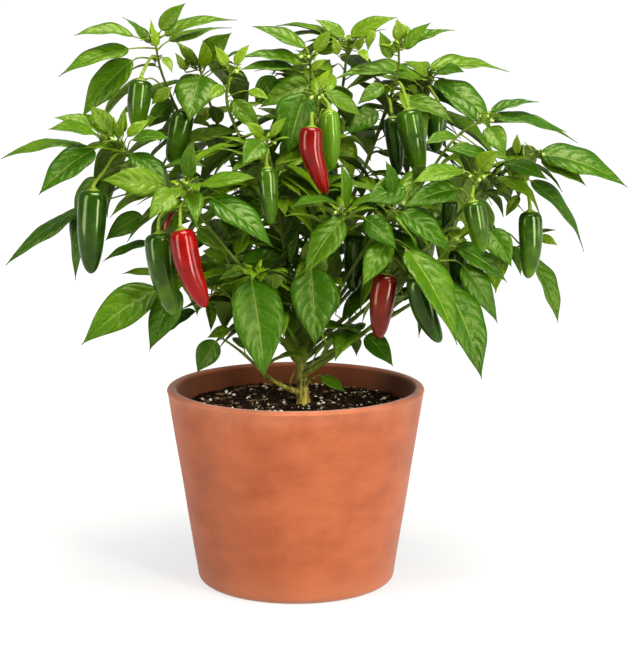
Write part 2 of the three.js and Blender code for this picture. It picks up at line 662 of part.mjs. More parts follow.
function leafSolid(leaf) {
  const stalk = [leaf.root];
  const span = leaf.root.distanceTo(leaf.base);
  if (span > LONG_STALK) {
    const bend = toward(leaf.root, leaf.base, 0.5);
    bend.z += STALK_BEND * span;
    stalk.push(bend);
  }
  const stalkWay = leaf.base.clone().sub(stalk[stalk.length - 1]).normalize();
  const bladeWay = middle(leaf, OUTLINE[1][0]).sub(leaf.base).normalize();
  const mitre = stalkWay.clone().add(bladeWay).normalize();
  const over = across(leaf.face, mitre).normalize();
  const rolled = across(over, stalkWay).normalize();
  const rings = stalk.map((p) => stalkRing(p, stalkWay.clone().cross(rolled), rolled));
  rings.push(stalkRing(leaf.base, mitre.clone().cross(over), over));
  for (const [s] of OUTLINE.slice(1, -1)) {
    const ahead = middle(leaf, s + 0.02).sub(middle(leaf, s - 0.02)).normalize();
    const below = across(leaf.face, ahead).normalize().multiplyScalar(-RIB_DEPTH);
    rings.push([onBlade(leaf, s, -1), onBlade(leaf, s, 1), middle(leaf, s).add(below)]);
  }
  rings.push([leaf.tip.clone()]);
  return skin(rings);
}

// A fruit's stalk with its calyx, whose flat face looks at the fruit.
function stalkSolid({ root, from, points }) {
  const axis = points[1].clone().sub(points[0]).normalize();
  const collar = [-5, -1.8, 0].map((d) => points[0].clone().addScaledVector(axis, d));
  const path = [root, toward(root, from, 0.55).add(new THREE.Vector3(0, 0, 4)), from, ...collar];
  const radii = [1.3, 1.4, 1.6, 2.3, 0.88 * CALYX_RADIUS, CALYX_RADIUS];
  return skin(sweep(path, radii, STALK_SIDES));
}

// A fruit: shoulders, a full body and a blunt tip, round its bent axis.
const FRUIT_PROFILE = [[0, 0.5], [0.035, 0.78], [0.16, 0.98], [0.42, 1], [0.7, 0.8], [0.92, 0.36]];

function fruitSolid({ points, width }) {
  const line = drawn(points, 0, points.length - 1, 16);
  const axis = points[1].clone().sub(points[0]).normalize();
  const path = FRUIT_PROFILE.map(([s]) => line[Math.round(s * (line.length - 1))].clone());
  path[0] = points[0].clone().addScaledVector(axis, SEAT_GAP);
  path[1] = points[0].clone().addScaledVector(axis, SHOULDER_DEPTH);
  const radii = FRUIT_PROFILE.map(([, share]) => (share * width) / 2);
  const rings = sweep(path, radii, FRUIT_SIDES);
  rings[0] = squared(rings[0], path[0], axis, radii[0]);
  rings.push([line[line.length - 1].clone()]);
  return skin(rings);
}

// The pot: a tapered wall with a rounded lip, a rounded foot and three drain holes.
function wallRadius(z) {
  return POT_BASE_RADIUS + ((POT_TOP_RADIUS - POT_BASE_RADIUS) * z) / POT_HEIGHT;
}

function potSolid() {
  const profile = [[0, 0], [POT_BASE_RADIUS - POT_CORNER, 0]];
  for (const a of [40, 85]) {
    const r = (a * Math.PI) / 180;
    const centre = wallRadius(POT_CORNER) - POT_CORNER;
    profile.push([centre + POT_CORNER * Math.sin(r), POT_CORNER * (1 - Math.cos(r))]);
  }
  const lipZ = POT_HEIGHT - LIP_ROUND;
  profile.push([wallRadius(lipZ), lipZ]);
  profile.push([wallRadius(POT_HEIGHT) - 1.4, POT_HEIGHT - 1.2]);
  profile.push([wallRadius(POT_HEIGHT) - LIP_ROUND, POT_HEIGHT]);
  profile.push([wallRadius(POT_HEIGHT) - POT_WALL + 2.4, POT_HEIGHT]);
  profile.push([wallRadius(lipZ) - POT_WALL, lipZ]);
  profile.push([wallRadius(POT_FLOOR) - POT_WALL, POT_FLOOR]);
  profile.push([0, POT_FLOOR]);
  const lathe = new THREE.LatheGeometry(profile.map(([r, z]) => new THREE.Vector2(r, z)), POT_SIDES);
  lathe.rotateX(Math.PI / 2);
  let pot = fromGeometry(lathe);
  for (let i = 0; i < DRAIN_COUNT; i++) {
    const a = Math.PI / 2 + (2 * Math.PI * i) / DRAIN_COUNT;
    const drill = new THREE.CylinderGeometry(DRAIN_RADIUS, DRAIN_RADIUS, 4 * POT_FLOOR, DRAIN_SIDES);
    drill.rotateX(Math.PI / 2);
    drill.translate(DRAIN_AT * Math.cos(a), DRAIN_AT * Math.sin(a), 0);
    pot = pot.subtract(fromGeometry(drill));
  }
  return pot;
}

// The soil fills the pot to below its lip. It is rough on top, with a plain hole for the
// trunk, whose sides line up with the trunk's.
function soilSolid() {
  const rings = [];
  const flat = (r, z, wobble) => {
    const ring = [];
    for (let k = 0; k < POT_SIDES; k++) {
      const a = (2 * Math.PI * k) / POT_SIDES;
      ring.push(new THREE.Vector3(r * Math.cos(a), r * Math.sin(a), z + wobble * (chance() - 0.5)));
    }
    return ring;
  };
  const inner = (z) => wallRadius(z) - POT_WALL - 1.4 * SEAT_GAP;
  rings.push(flat(inner(POT_FLOOR), POT_FLOOR + SEAT_GAP, 0));
  rings.push(flat(inner(SOIL_TOP), SOIL_TOP - SOIL_MOUND, SOIL_ROUGH));
  rings.push(flat(inner(SOIL_TOP) * 0.62, SOIL_TOP, SOIL_ROUGH));
  rings.push(flat(TRUNK_RADIUS * 2, SOIL_TOP + SOIL_MOUND, 0));
  rings.push([new THREE.Vector3(0, 0, SOIL_TOP + SOIL_MOUND)]);
  const hole = TRUNK_RADIUS + SEAT_GAP / Math.cos(Math.PI / TRUNK_SIDES);
  const drill = new THREE.CylinderGeometry(hole, hole, TRUNK_DEPTH * 2, TRUNK_SIDES);
  drill.rotateX(Math.PI / 2);
  drill.translate(TRUNK_FOOT_X, 0, SOIL_TOP);
  return skin(rings).subtract(fromGeometry(drill));
}

// The trunk stands straight in its hole, then leans to where the limbs part.
const trunkLine = [
  new THREE.Vector3(TRUNK_FOOT_X, 0, SOIL_TOP - TRUNK_DEPTH + SEAT_GAP),
  new THREE.Vector3(TRUNK_FOOT_X, 0, SOIL_TOP + 2 * SOIL_MOUND),
  new THREE.Vector3(6.5, 0, SOIL_TOP + 16),
  new THREE.Vector3(5, 0, 222),
  new THREE.Vector3(4, 0, 258),
];

// The greatest of the bodies of a solid: slivers that a join leaves are dropped.
function largest(solid) {
  return solid.decompose().sort((a, b) => b.volume() - a.volume())[0];
}

// The trunk with the woody limbs, and a stub for the young shoot low on it.
const TRUNK_RADII = [TRUNK_RADIUS, TRUNK_RADIUS, 6.6, 6, 4.6];
const STUB_START = new THREE.Vector3(7, 0, 196);

function trunkSolid() {
  const parts = [skin(sweep(trunkLine, TRUNK_RADII, TRUNK_SIDES))];
  for (const { limb } of Object.values(stems)) {
    if (!limb.length) continue;
    const path = limb.map((p) => p.clone());
    const end = path.length - 1;
    const radii = path.map((p, i) => LIMB_RADIUS + ((STEM_RADIUS - LIMB_RADIUS) * i) / end);
    const along = path[end].clone().sub(path[end - 1]).normalize();
    path[end].addScaledVector(along, -SEAT_GAP / 2);
    parts.push(skin(sweep(path, radii, STEM_SIDES)));
  }
  const stub = [STUB_START.clone(), stems.low_shoot.points[0].clone()];
  const way = stub[1].clone().sub(stub[0]).normalize();
  stub[1].addScaledVector(way, -SEAT_GAP);
  parts.push(skin(sweep(stub, [1.15 * SHOOT_RADIUS, 1.05 * SHOOT_RADIUS], STEM_SIDES)));
  return largest(wasm.Manifold.union(parts).simplify(MERGE_BELOW));
}

// A green stem with its leaves and the stalks of its fruits. Its foot is square to the
// end of its limb, a small gap further on.
function stemSolid(name) {
  const { green, limb, wood } = stems[name];
  const path = green.map((p) => p.clone());
  const last = path.length - 1;
  const before = limb.length ? limb[limb.length - 2] : STUB_START;
  const along = path[0].clone().sub(before).normalize();
  path[0].addScaledVector(along, SEAT_GAP / 2 + 0.1);
  const thick = wood ? STEM_RADIUS : SHOOT_RADIUS;
  const radii = path.map((p, i) => thick + ((STEM_TIP_RADIUS - thick) * i) / last);
  const rings = sweep(path, radii, STEM_SIDES);
  rings[0] = squared(rings[0], path[0], along, thick);
  const parts = [skin(rings)];
  for (const leaf of leaves) if (leaf.stem === name) parts.push(leafSolid(leaf));
  for (const fruit of fruits) if (fruit.stem === name) parts.push(stalkSolid(fruit));
  return wasm.Manifold.union(parts).simplify(MERGE_BELOW);
}

function meshOf(name, solid, colour, roughness) {
  const made = solid.getMesh();
  const geometry = new THREE.BufferGeometry();
  geometry.setAttribute("position", new THREE.BufferAttribute(new Float32Array(made.vertProperties), 3));
  geometry.setIndex(new THREE.BufferAttribute(new Uint32Array(made.triVerts), 1));
  geometry.computeVertexNormals();
  const material = new THREE.MeshStandardMaterial({ color: colour, roughness, metalness: 0 });
  const mesh = new THREE.Mesh(geometry, material);
  mesh.name = name;
  return mesh;
}

const plant = new THREE.Group();
plant.name = "chilli_plant";
plant.add(meshOf("pot", potSolid(), 0xc86e4b, 0.85));
plant.add(meshOf("soil", soilSolid(), 0x241a12, 0.95));
plant.add(meshOf("trunk", trunkSolid(), 0x96904f, 0.75));
for (const name of Object.keys(stems)) {
  plant.add(meshOf("leafy_" + name, stemSolid(name), 0x4f8a22, 0.5));
}
for (const fruit of fruits) {
  plant.add(meshOf(fruit.name, fruitSolid(fruit), FRUIT_COLOURS[fruit.colour], 0.25));
}

export default plant;
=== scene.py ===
# %% [markdown]
# # A potted chilli pepper plant
# The real object is a bushy chilli plant, hung with long blunt green and red fruits, in a
# plain terracotta pot of dark potting soil. It has been modelled already as plain solids:
# each leaf a few flat faces, each fruit a seven-sided bag, the pot a turned wall. Here
# those solids are the frame, and every one of them is replaced by a finer piece of the
# same form in the same place. Lengths are millimetres while we plan the plant, and metres
# once a mesh is made.

# %% Load the frame
import math

import bmesh
import bpy
import numpy as np
from mathutils import Matrix, Vector, noise


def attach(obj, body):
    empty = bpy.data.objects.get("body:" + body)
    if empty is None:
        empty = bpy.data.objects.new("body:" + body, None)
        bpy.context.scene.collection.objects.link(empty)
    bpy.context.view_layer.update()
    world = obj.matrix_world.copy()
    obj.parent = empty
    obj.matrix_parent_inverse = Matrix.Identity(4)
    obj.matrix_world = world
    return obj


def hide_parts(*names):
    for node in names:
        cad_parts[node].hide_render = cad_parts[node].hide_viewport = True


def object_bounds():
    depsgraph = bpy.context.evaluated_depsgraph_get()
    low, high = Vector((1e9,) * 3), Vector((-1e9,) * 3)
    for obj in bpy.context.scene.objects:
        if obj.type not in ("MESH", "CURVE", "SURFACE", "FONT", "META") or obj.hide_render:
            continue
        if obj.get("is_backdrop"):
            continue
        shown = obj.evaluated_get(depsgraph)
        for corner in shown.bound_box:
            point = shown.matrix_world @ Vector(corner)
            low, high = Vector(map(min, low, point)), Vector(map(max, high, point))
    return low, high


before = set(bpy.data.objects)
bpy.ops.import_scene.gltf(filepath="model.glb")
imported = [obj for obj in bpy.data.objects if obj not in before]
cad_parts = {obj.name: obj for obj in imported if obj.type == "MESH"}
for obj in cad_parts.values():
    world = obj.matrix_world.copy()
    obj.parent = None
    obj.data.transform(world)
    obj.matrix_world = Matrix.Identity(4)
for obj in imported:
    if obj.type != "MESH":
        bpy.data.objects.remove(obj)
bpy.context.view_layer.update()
MM = 0.001
print("nodes in the frame:", len(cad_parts))

# %% [markdown]
# ## The camera, the floor and the light
# The photograph looks slightly down on the plant from nearly two metres, with a long
# lens, so the camera stands there. The set is the plain one of a product picture: a pale
# floor that runs into a white world, a tall narrow lamp right of the camera, a weaker one
# on its left, a weak one far to the right and a wide one overhead. The tall lamps reach
# down to the floor, because a glossy fruit shows each lamp as a streak of the same shape.

# %% Camera
CAMERA_PLACE = (0, -1.9, 0.584)
LOOKS_DOWN, TURNS_RIGHT = 0.1723, 0.0103  # radians
LENS, SENSOR, SIGHT = 106.6, 36, 500

camera = bpy.data.objects.new("camera", bpy.data.cameras.new("camera"))
camera.location = CAMERA_PLACE
camera.rotation_euler = (math.pi / 2 - LOOKS_DOWN, 0, -TURNS_RIGHT)
camera.data.lens = LENS
camera.data.sensor_width = SENSOR
camera.data.clip_end = SIGHT
bpy.context.scene.collection.objects.link(camera)
bpy.context.scene.camera = camera
bpy.context.scene.view_settings.view_transform = "Standard"

# %% Lamps
WARM_WHITE = (1, 0.97, 0.90)


def lamp(name, place, aim_height, width, height, watts):
    """An area lamp that looks at the plant's axis at a given height."""
    light = bpy.data.lights.new(name, "AREA")
    light.shape = "RECTANGLE"
    light.size = width
    light.size_y = height
    light.energy = watts
    light.color = WARM_WHITE
    made = bpy.data.objects.new(name, light)
    made.location = place
    made.rotation_euler = (Vector(place) - Vector((0, 0, aim_height))).to_track_quat("Z", "Y").to_euler()
    bpy.context.scene.collection.objects.link(made)


lamp("key_light", (1.05, -1.50, 0.88), 0.58, width=0.42, height=1.7, watts=64)
lamp("left_light", (-1.45, -1.0, 0.85), 0.5, width=0.55, height=1.6, watts=33)
lamp("right_light", (1.90, -0.60, 0.8), 0.3, width=0.80, height=1.2, watts=20)
lamp("top_light", (0.2, -0.3, 2.3), 0.32, width=1.2, height=1.2, watts=102)
print("lamps:", len(bpy.data.lights))

# %% [markdown]
# ## Writing a finish
# Every surface gets its colour, gloss and fine relief from shader nodes. A tree of nodes
# is easier to read as a sum, so one small class wraps a socket and lets Python's own
# operators add the Math nodes. A second class starts a material and adds any other node
# through one method.


# %% Sockets that take part in sums
class Value:
    def __init__(self, tree, socket):
        self.tree = tree
        self.socket = socket

    def maths(self, operation, *values):
        made = self.tree.nodes.new("ShaderNodeMath")
        made.operation = operation
        for entry, value in zip(made.inputs, values):
            plug(self.tree, entry, value)
        return Value(self.tree, made.outputs[0])

    def __add__(self, other):
        return self.maths("ADD", self, other)

    def __sub__(self, other):
        return self.maths("SUBTRACT", self, other)

    def __rsub__(self, other):
        return self.maths("SUBTRACT", other, self)

    def __mul__(self, other):
        return self.maths("MULTIPLY", self, other)

    def __pow__(self, other):
        return self.maths("POWER", self, other)

    def __abs__(self):
        return self.maths("ABSOLUTE", self)

    def __mod__(self, other):
        return self.maths("FLOORED_MODULO", self, other)

    def __gt__(self, other):
        return self.maths("GREATER_THAN", self, other)

    __radd__ = __add__
    __rmul__ = __mul__


def plug(tree, entry, value):
    if isinstance(value, Value):
        tree.links.new(value.socket, entry)
    elif isinstance(value, tuple) and len(value) == 3 and len(entry.default_value) == 4:
        entry.default_value = (*value, 1)
    else:
        entry.default_value = value


# %% Materials
class Finish:
    def __init__(self, name):
        self.material = bpy.data.materials.new(name)
        self.material.use_nodes = True
        self.tree = self.material.node_tree
        self.tree.nodes.clear()

    def node(self, kind, settings, values, out=0):
        made = self.tree.nodes.new("ShaderNode" + kind)
        for name, setting in settings.items():
            setattr(made, name, setting)
        for entry, value in values.items():
            plug(self.tree, made.inputs[entry], value)
        return Value(self.tree, made.outputs[out])

    def place(self):
        return self.node("TexCoord", {}, {}, "Object")

    def stretched(self, x, y, z):
        return self.node("Mapping", {}, {"Vector": self.place(), "Scale": (x, y, z)})

    def noise(self, where, scale, detail=3.0, roughness=0.5):
        values = {"Vector": where, "Scale": scale, "Detail": detail, "Roughness": roughness}
        return self.node("TexNoise", {}, values, 0)

    def mix(self, share, a, b):
        return self.node("Mix", {"data_type": "RGBA"}, {0: share, 6: a, 7: b}, 2)

    def step(self, value, low, high):
        settings = {"interpolation_type": "SMOOTHSTEP"}
        return self.node("MapRange", settings, {"Value": value, "From Min": low, "From Max": high})

    def given(self, name):
        return self.node("Attribute", {"attribute_name": name}, {}, "Fac")

    def surface(self, values, relief=None, depth=0.0005, strength=1.0):
        if relief is not None:
            bump = {"Height": relief, "Distance": depth, "Strength": strength}
            values["Normal"] = self.node("Bump", {}, bump)
        shader = self.node("BsdfPrincipled", {}, values)
        output = self.tree.nodes.new("ShaderNodeOutputMaterial")
        self.tree.links.new(shader.socket, output.inputs["Surface"])
        return self.material


# %% [markdown]
# The floor is one great sheet of card. In a studio the background is lit apart from the
# object, so that it comes out white while the object keeps its dark places. Here the card
# is grey and gives off light of its own, less around the pot, where its shadow must show,
# and almost white farther away. The sheet is so large that it fills the picture behind
# the plant as well. The world above it is a dim white that only fills the shadows, a
# little dimmer overhead, where a lamp takes over.


# %% A bmesh as an object
def stand(name, bm):
    """Puts a bmesh into the scene as an object at the origin, and frees it."""
    mesh = bpy.data.meshes.new(name)
    bm.to_mesh(mesh)
    bm.free()
    made = bpy.data.objects.new(name, mesh)
    bpy.context.scene.collection.objects.link(made)
    return made


# %% Floor
FLOOR_SIZE = 300
FLOOR_GLOW, BACK_GLOW = (0.70, 0.70, 0.70), (0.97, 0.97, 0.97)
GLOW_FROM, GLOW_TO = 0.45, 2.8  # metres from the pot's axis

card = Finish("white_card")
tooth = card.noise(card.place(), 40.0)
away = card.node("VectorMath", {"operation": "LENGTH"}, {0: card.place()}, "Value")
card.surface({
    "Base Color": card.mix(tooth, (0.17, 0.17, 0.17), (0.19, 0.19, 0.19)),
    "Roughness": 0.8,
    "Emission Color": card.mix(card.step(away, GLOW_FROM, GLOW_TO), FLOOR_GLOW, BACK_GLOW),
    "Emission Strength": 1.0,
})
sheet = bmesh.new()
bmesh.ops.create_grid(sheet, x_segments=1, y_segments=1, size=FLOOR_SIZE)
floor = stand("floor", sheet)
floor.data.materials.append(card.material)
floor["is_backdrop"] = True
print("floor metres:", 2 * FLOOR_SIZE)

# %% World
SKY = {"From Min": 0.02, "From Max": 0.45, "To Min": 0.35, "To Max": 0.24}

world = bpy.data.worlds.new("white_studio")
world.use_nodes = True
sky = world.node_tree
way = sky.nodes.new("ShaderNodeTexCoord")
parts = sky.nodes.new("ShaderNodeSeparateXYZ")
fade = sky.nodes.new("ShaderNodeMapRange")
for entry, number in SKY.items():
    fade.inputs[entry].default_value = number
sky.links.new(way.outputs["Generated"], parts.inputs[0])
sky.links.new(parts.outputs["Z"], fade.inputs["Value"])
sky.links.new(fade.outputs["Result"], sky.nodes["Background"].inputs["Strength"])
sky.nodes["Background"].inputs["Color"].default_value = (1, 1, 1, 1)
bpy.context.scene.world = world

# %% [markdown]
# ## Turning a bmesh into a piece
# Each finished piece is one object at the origin, with its place in its mesh. One helper
# makes the object, gives it its finishes, lets it ride on the plant's only body and hides
# the plain solids that it stands for.


# %% Piece helper
def piece(name, bm, finishes, slot, replaced=()):
    made = stand(name, bm)
    made.data.polygons.foreach_set("use_smooth", [True] * len(made.data.polygons))
    for finish in finishes:
        made.data.materials.append(finish)
    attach(made, "root")
    if replaced:
        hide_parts(*replaced)
    return made


# %% [markdown]
# ## Pushing a shape along a path
# Stems, leaf stalks and limbs are all the same kind of thing: a round section that
# travels along a path, turns with it and changes thickness. The way a maker would do it
# is to start with a disc and pull it out of itself again and again, so the helper makes a
# disc, extrudes it, and moves each new end to the next place. The first extrusion keeps
# the disc that it started from, which closes the far end.


# %% Rings and extrusions
def sections(path, radii):
    """The place, turn and size of each section on a path in millimetres."""
    points = [Vector(p) * MM for p in path]
    made = []
    turn = None
    before = None
    for i, point in enumerate(points):
        ahead = points[min(i + 1, len(points) - 1)] - points[max(i - 1, 0)]
        ahead.normalize()
        if turn is None:
            turn = ahead.to_track_quat("Z", "Y")
        else:
            turn = before.rotation_difference(ahead) @ turn
        before = ahead
        size = radii[i] * MM
        made.append(Matrix.LocRotScale(point, turn, Vector((size, size, size))))
    return made


def push(bm, path, radii, sides, index=0):
    """Extrudes a disc along a path. Both ends are closed."""
    steps = sections(path, radii)
    disc = bmesh.ops.create_circle(bm, cap_ends=True, segments=sides, radius=1, matrix=steps[0])
    cap = disc["verts"][0].link_faces[0]
    cap.material_index = index
    for number in range(1, len(steps)):
        grown = bmesh.ops.extrude_face_region(bm, geom=[cap], use_keep_orig=number == 1)
        cap = [g for g in grown["geom"] if isinstance(g, bmesh.types.BMFace)][0]
        move = steps[number] @ steps[number - 1].inverted()
        bmesh.ops.transform(bm, matrix=move, verts=cap.verts)


# %% [markdown]
# ## The plan of the plant
# A plant is repeated parts with a rule. The branches, the leaves that can be read one by
# one, and the fruits are given as points: across, up, and how deep. Across and up are how
# the point appears from the front in the plane of the pot's axis, because that is what
# can be read from a picture.

# %% Branches
STEMS = {
    "top_left": [
        [4, 226, 2], [-26, 295, 22], [-72, 380, 36], [-108, 455, 32], [-129, 505, 22], [-135, 537, 16],
    ],
    "outer_left": [[3, 236, 0], [-42, 300, -14], [-104, 366, -30], [-152, 416, -40], [-184, 441, -46]],
    "mid_left": [[3, 246, 4], [-30, 330, 46], [-62, 420, 64], [-84, 480, 60], [-93, 513, 54]],
    "left_centre": [[3, 252, 0], [-16, 330, -10], [-45, 420, -16], [-66, 475, -20], [-62, 508, -25]],
    "front_left": [[1, 230, -3], [-30, 284, -54], [-70, 334, -88], [-98, 372, -102], [-108, 394, -104]],
    "low_left": [[0, 222, -2], [-24, 254, -34], [-62, 284, -62], [-98, 298, -74], [-122, 302, -78]],
    "rim_left": [[0, 190, -1], [-24, 202, -18], [-52, 228, -42], [-74, 244, -58]],
    "centre_left": [[2, 252, -2], [-9, 322, -44], [-20, 390, -70], [-28, 438, -80]],
    "front_low": [[2, 234, -4], [-10, 262, -58], [-26, 292, -98], [-40, 309, -114]],
    "centre_front": [[5, 240, -5], [18, 282, -52], [32, 330, -84], [46, 368, -95]],
    "centre_high": [[5, 254, -3], [14, 330, -42], [20, 400, -62], [22, 455, -62], [22, 482, -54]],
    "top_centre_left": [[3, 256, 2], [1, 330, 24], [8, 420, 24], [15, 488, 14], [14, 520, 8]],
    "top_centre": [[5, 254, 2], [20, 340, 64], [38, 440, 76], [48, 508, 64], [50, 536, 58]],
    "top_centre_right": [
        [6, 250, 3], [36, 336, 32], [70, 420, 30], [88, 470, 20], [99, 504, 12], [100, 530, 8],
    ],
    "top_right": [[6, 244, 2], [52, 330, 66], [95, 415, 86], [120, 475, 74], [130, 504, 66]],
    "right": [[7, 238, 0], [60, 308, -18], [115, 384, -42], [155, 440, -54], [187, 460, -60]],
    "outer_right": [[7, 230, 2], [80, 292, 6], [150, 360, -6], [204, 408, -14], [236, 425, -22]],
    "right_low": [[7, 222, -2], [72, 276, -40], [128, 332, -68], [166, 374, -80], [178, 402, -82]],
    "centre_right": [[6, 230, -4], [40, 288, -50], [74, 340, -84], [98, 376, -94]],
    "low_right": [[7, 206, -3], [54, 238, -38], [98, 276, -72], [134, 312, -92], [152, 338, -98]],
    "outer_right_low": [[8, 214, 3], [80, 258, 26], [150, 300, 24], [204, 328, 10], [230, 340, 2]],
    "low_shoot": [[13, 200, -9], [19, 204, -14]],
    "back_left": [[4, 238, 2], [-40, 302, 72], [-92, 368, 120], [-136, 412, 140]],
    "back_centre": [[5, 248, 2], [8, 320, 92], [14, 392, 146], [10, 446, 156]],
    "back_right": [[6, 236, 2], [60, 300, 84], [114, 366, 128], [158, 412, 142]],
    "back_low": [[4, 224, 2], [-16, 262, 84], [-30, 292, 136], [-36, 312, 160]],
}

# %% Leaves that are read one by one
# By branch: base, tip, the width as it appears from the front, and for some how high it arches.
LEAVES = {
    "top_left": [
        ([-156, 540, 10], [-213, 541, -5], 12), ([-161, 528, 5], [-229, 501, -25], 18),
        ([-157, 517, 0], [-207, 462, -30], 30), ([-140, 534, 25], [-166, 559, 30], 9),
        ([-138, 541, 15], [-139, 557, 15], 5), ([-129, 546, 15], [-105, 572, 10], 17),
        ([-126, 541, 20], [-56, 556, 25], 12), ([-122, 536, 34], [-61, 549, 56], 8),
        ([-121, 490, 8], [-140, 474, -2], 14), ([-120, 476, 4], [-143, 452, -12], 20),
        ([-112, 440, 8], [-50, 449, -20], 14), ([-118, 430, 6], [-94, 442, -14], 10),
        ([-136, 462, 12], [-163, 443, 4], 12),
    ],
    "outer_left": [
        ([-190, 449, -46], [-234, 461, -55], 12), ([-191, 443, -52], [-240, 449, -78], 12),
        ([-180, 447, -46], [-200, 473, -50], 20), ([-176, 446, -40], [-176, 463, -42], 6),
        ([-167, 447, -34], [-165, 472, -34], 9), ([-201, 432, -42], [-287, 421, -46], 9, 15),
        ([-196, 430, -58], [-251, 385, -92], 28), ([-190, 402, -22], [-217, 302, -30], 24),
        ([-189, 380, -14], [-285, 317, -20], 13, 14), ([-158, 440, -50], [-121, 440, -66], 12),
        ([-160, 426, -52], [-124, 392, -84], 22), ([-150, 366, -26], [-187, 341, -28], 22),
        ([-142, 340, -38], [-190, 320, -48], 9),
    ],
    "mid_left": [
        ([-96, 512, 56], [-116, 537, 62], 12), ([-88, 518, 50], [-61, 544, 36], 24),
        ([-92, 503, 30], [-103, 457, 0], 42),
    ],
    "left_centre": [
        ([-62, 478, -14], [-33, 445, -26], 20), ([-66, 510, -24], [-78, 531, -22], 11),
        ([-58, 512, -26], [-44, 532, -24], 10), ([-70, 492, -26], [-84, 478, -46], 14),
    ],
    "front_left": [
        ([-129, 392, -100], [-190, 399, -118], 28), ([-117, 387, -118], [-144, 360, -142], 24),
        ([-96, 352, -84], [-73, 329, -86], 18), ([-83, 382, -112], [-22, 332, -140], 28),
        ([-94, 394, -106], [-38, 401, -118], 14), ([-104, 401, -106], [-99, 440, -116], 16),
    ],
    "low_left": [
        ([-136, 292, -80], [-212, 236, -104], 38), ([-115, 292, -72], [-145, 230, -80], 30),
        ([-99, 270, -60], [-135, 244, -54], 12), ([-88, 282, -52], [-84, 250, -50], 10),
        ([-140, 308, -56], [-171, 308, -52], 8), ([-68, 322, -66], [-92, 330, -84], 19),
        ([-62, 316, -54], [-88, 294, -66], 19), ([-52, 318, -50], [-5, 322, -44], 24),
    ],
    "rim_left": [
        ([-78, 240, -62], [-98, 208, -62], 24), ([-66, 252, -58], [-88, 243, -72], 12),
    ],
    "centre_left": [
        ([-33, 435, -84], [-52, 414, -104], 24), ([-24, 442, -80], [-8, 461, -84], 10),
        ([-32, 442, -80], [-50, 456, -90], 12), ([-38, 350, -44], [-6, 318, -44], 24),
    ],
    "front_low": [
        ([-44, 301, -118], [-31, 200, -142], 50), ([-50, 312, -110], [-76, 300, -128], 12),
    ],
    "centre_front": [
        ([46, 361, -100], [8, 303, -124], 30), ([4, 357, -68], [-5, 317, -76], 10),
        ([40, 376, -94], [-5, 371, -110], 10), ([50, 372, -96], [44, 416, -102], 11),
        ([15, 314, -92], [19, 233, -108], 46), ([68, 362, -98], [100, 330, -120], 24),
    ],
    "centre_high": [
        ([10, 484, -60], [-7, 425, -88], 44), ([30, 484, -52], [65, 461, -46], 16),
        ([24, 490, -52], [34, 508, -50], 8),
    ],
    "top_centre_left": [
        ([6, 514, 4], [-59, 519, 0], 12), ([4, 506, -4], [-54, 508, -26], 10),
        ([-20, 502, 20], [-39, 472, 14], 22), ([10, 529, 10], [-42, 550, 16], 14),
        ([20, 525, 6], [36, 547, 2], 14), ([14, 494, 0], [-35, 471, -12], 27),
    ],
    "top_centre": [
        ([47, 540, 60], [19, 557, 66], 13), ([54, 540, 56], [98, 559, 52], 17),
        ([60, 528, 50], [68, 542, 48], 8), ([40, 530, 66], [18, 524, 84], 12),
    ],
    "top_centre_right": [
        ([92, 519, 16], [81, 546, 22], 14), ([101, 536, 6], [98, 557, 2], 15),
        ([110, 535, 6], [154, 546, 2], 10), ([86, 493, 10], [60, 474, 0], 16),
        ([108, 478, 2], [156, 454, -20], 18), ([80, 468, 8], [50, 445, 0], 22),
    ],
    "top_right": [
        ([122, 500, 50], [35, 498, 22], 18, 17), ([130, 511, 62], [207, 507, 54], 15),
        ([136, 506, 58], [164, 506, 36], 12), ([136, 498, 52], [192, 448, 14], 27, 14),
        ([118, 484, 68], [107, 494, 50], 8),
    ],
    "right": [
        ([180, 456, -52], [143, 483, -30], 14), ([190, 467, -56], [237, 476, -56], 9),
        ([191, 462, -62], [275, 436, -72], 11, 11), ([193, 456, -52], [264, 447, -40], 9),
        ([187, 451, -66], [206, 423, -88], 22), ([156, 443, -60], [125, 434, -78], 12),
        ([174, 430, -58], [146, 428, -64], 14),
    ],
    "outer_right": [
        ([238, 426, -26], [325, 393, -42], 27, 12), ([240, 421, -32], [285, 394, -58], 18),
        ([206, 416, -30], [247, 400, -54], 15), ([198, 403, -32], [236, 378, -66], 14),
        ([230, 400, -6], [284, 330, -16], 14, 14), ([216, 426, -18], [216, 446, -18], 9),
    ],
    "right_low": [
        ([180, 410, -86], [198, 428, -96], 20), ([160, 391, -86], [105, 372, -108], 24),
        ([162, 409, -86], [114, 396, -112], 18), ([190, 350, -78], [213, 313, -98], 27),
    ],
    "centre_right": [
        ([103, 368, -102], [152, 327, -128], 24), ([92, 340, -98], [66, 293, -118], 26),
        ([106, 392, -94], [68, 377, -118], 28), ([95, 386, -95], [88, 418, -100], 14),
        ([110, 330, -106], [160, 234, -134], 32),
    ],
    "low_right": [
        ([158, 334, -94], [209, 298, -98], 20), ([164, 316, -88], [200, 257, -98], 25),
        ([147, 297, -102], [185, 200, -128], 35), ([70, 246, -42], [97, 214, -62], 22),
    ],
    "outer_right_low": [
        ([231, 326, 2], [260, 259, -6], 17), ([240, 345, 0], [258, 336, -6], 10),
        ([212, 336, -4], [222, 306, -24], 13),
    ],
    "low_shoot": [
        ([24, 206, -17], [50, 188, -30], 12),
    ],
}
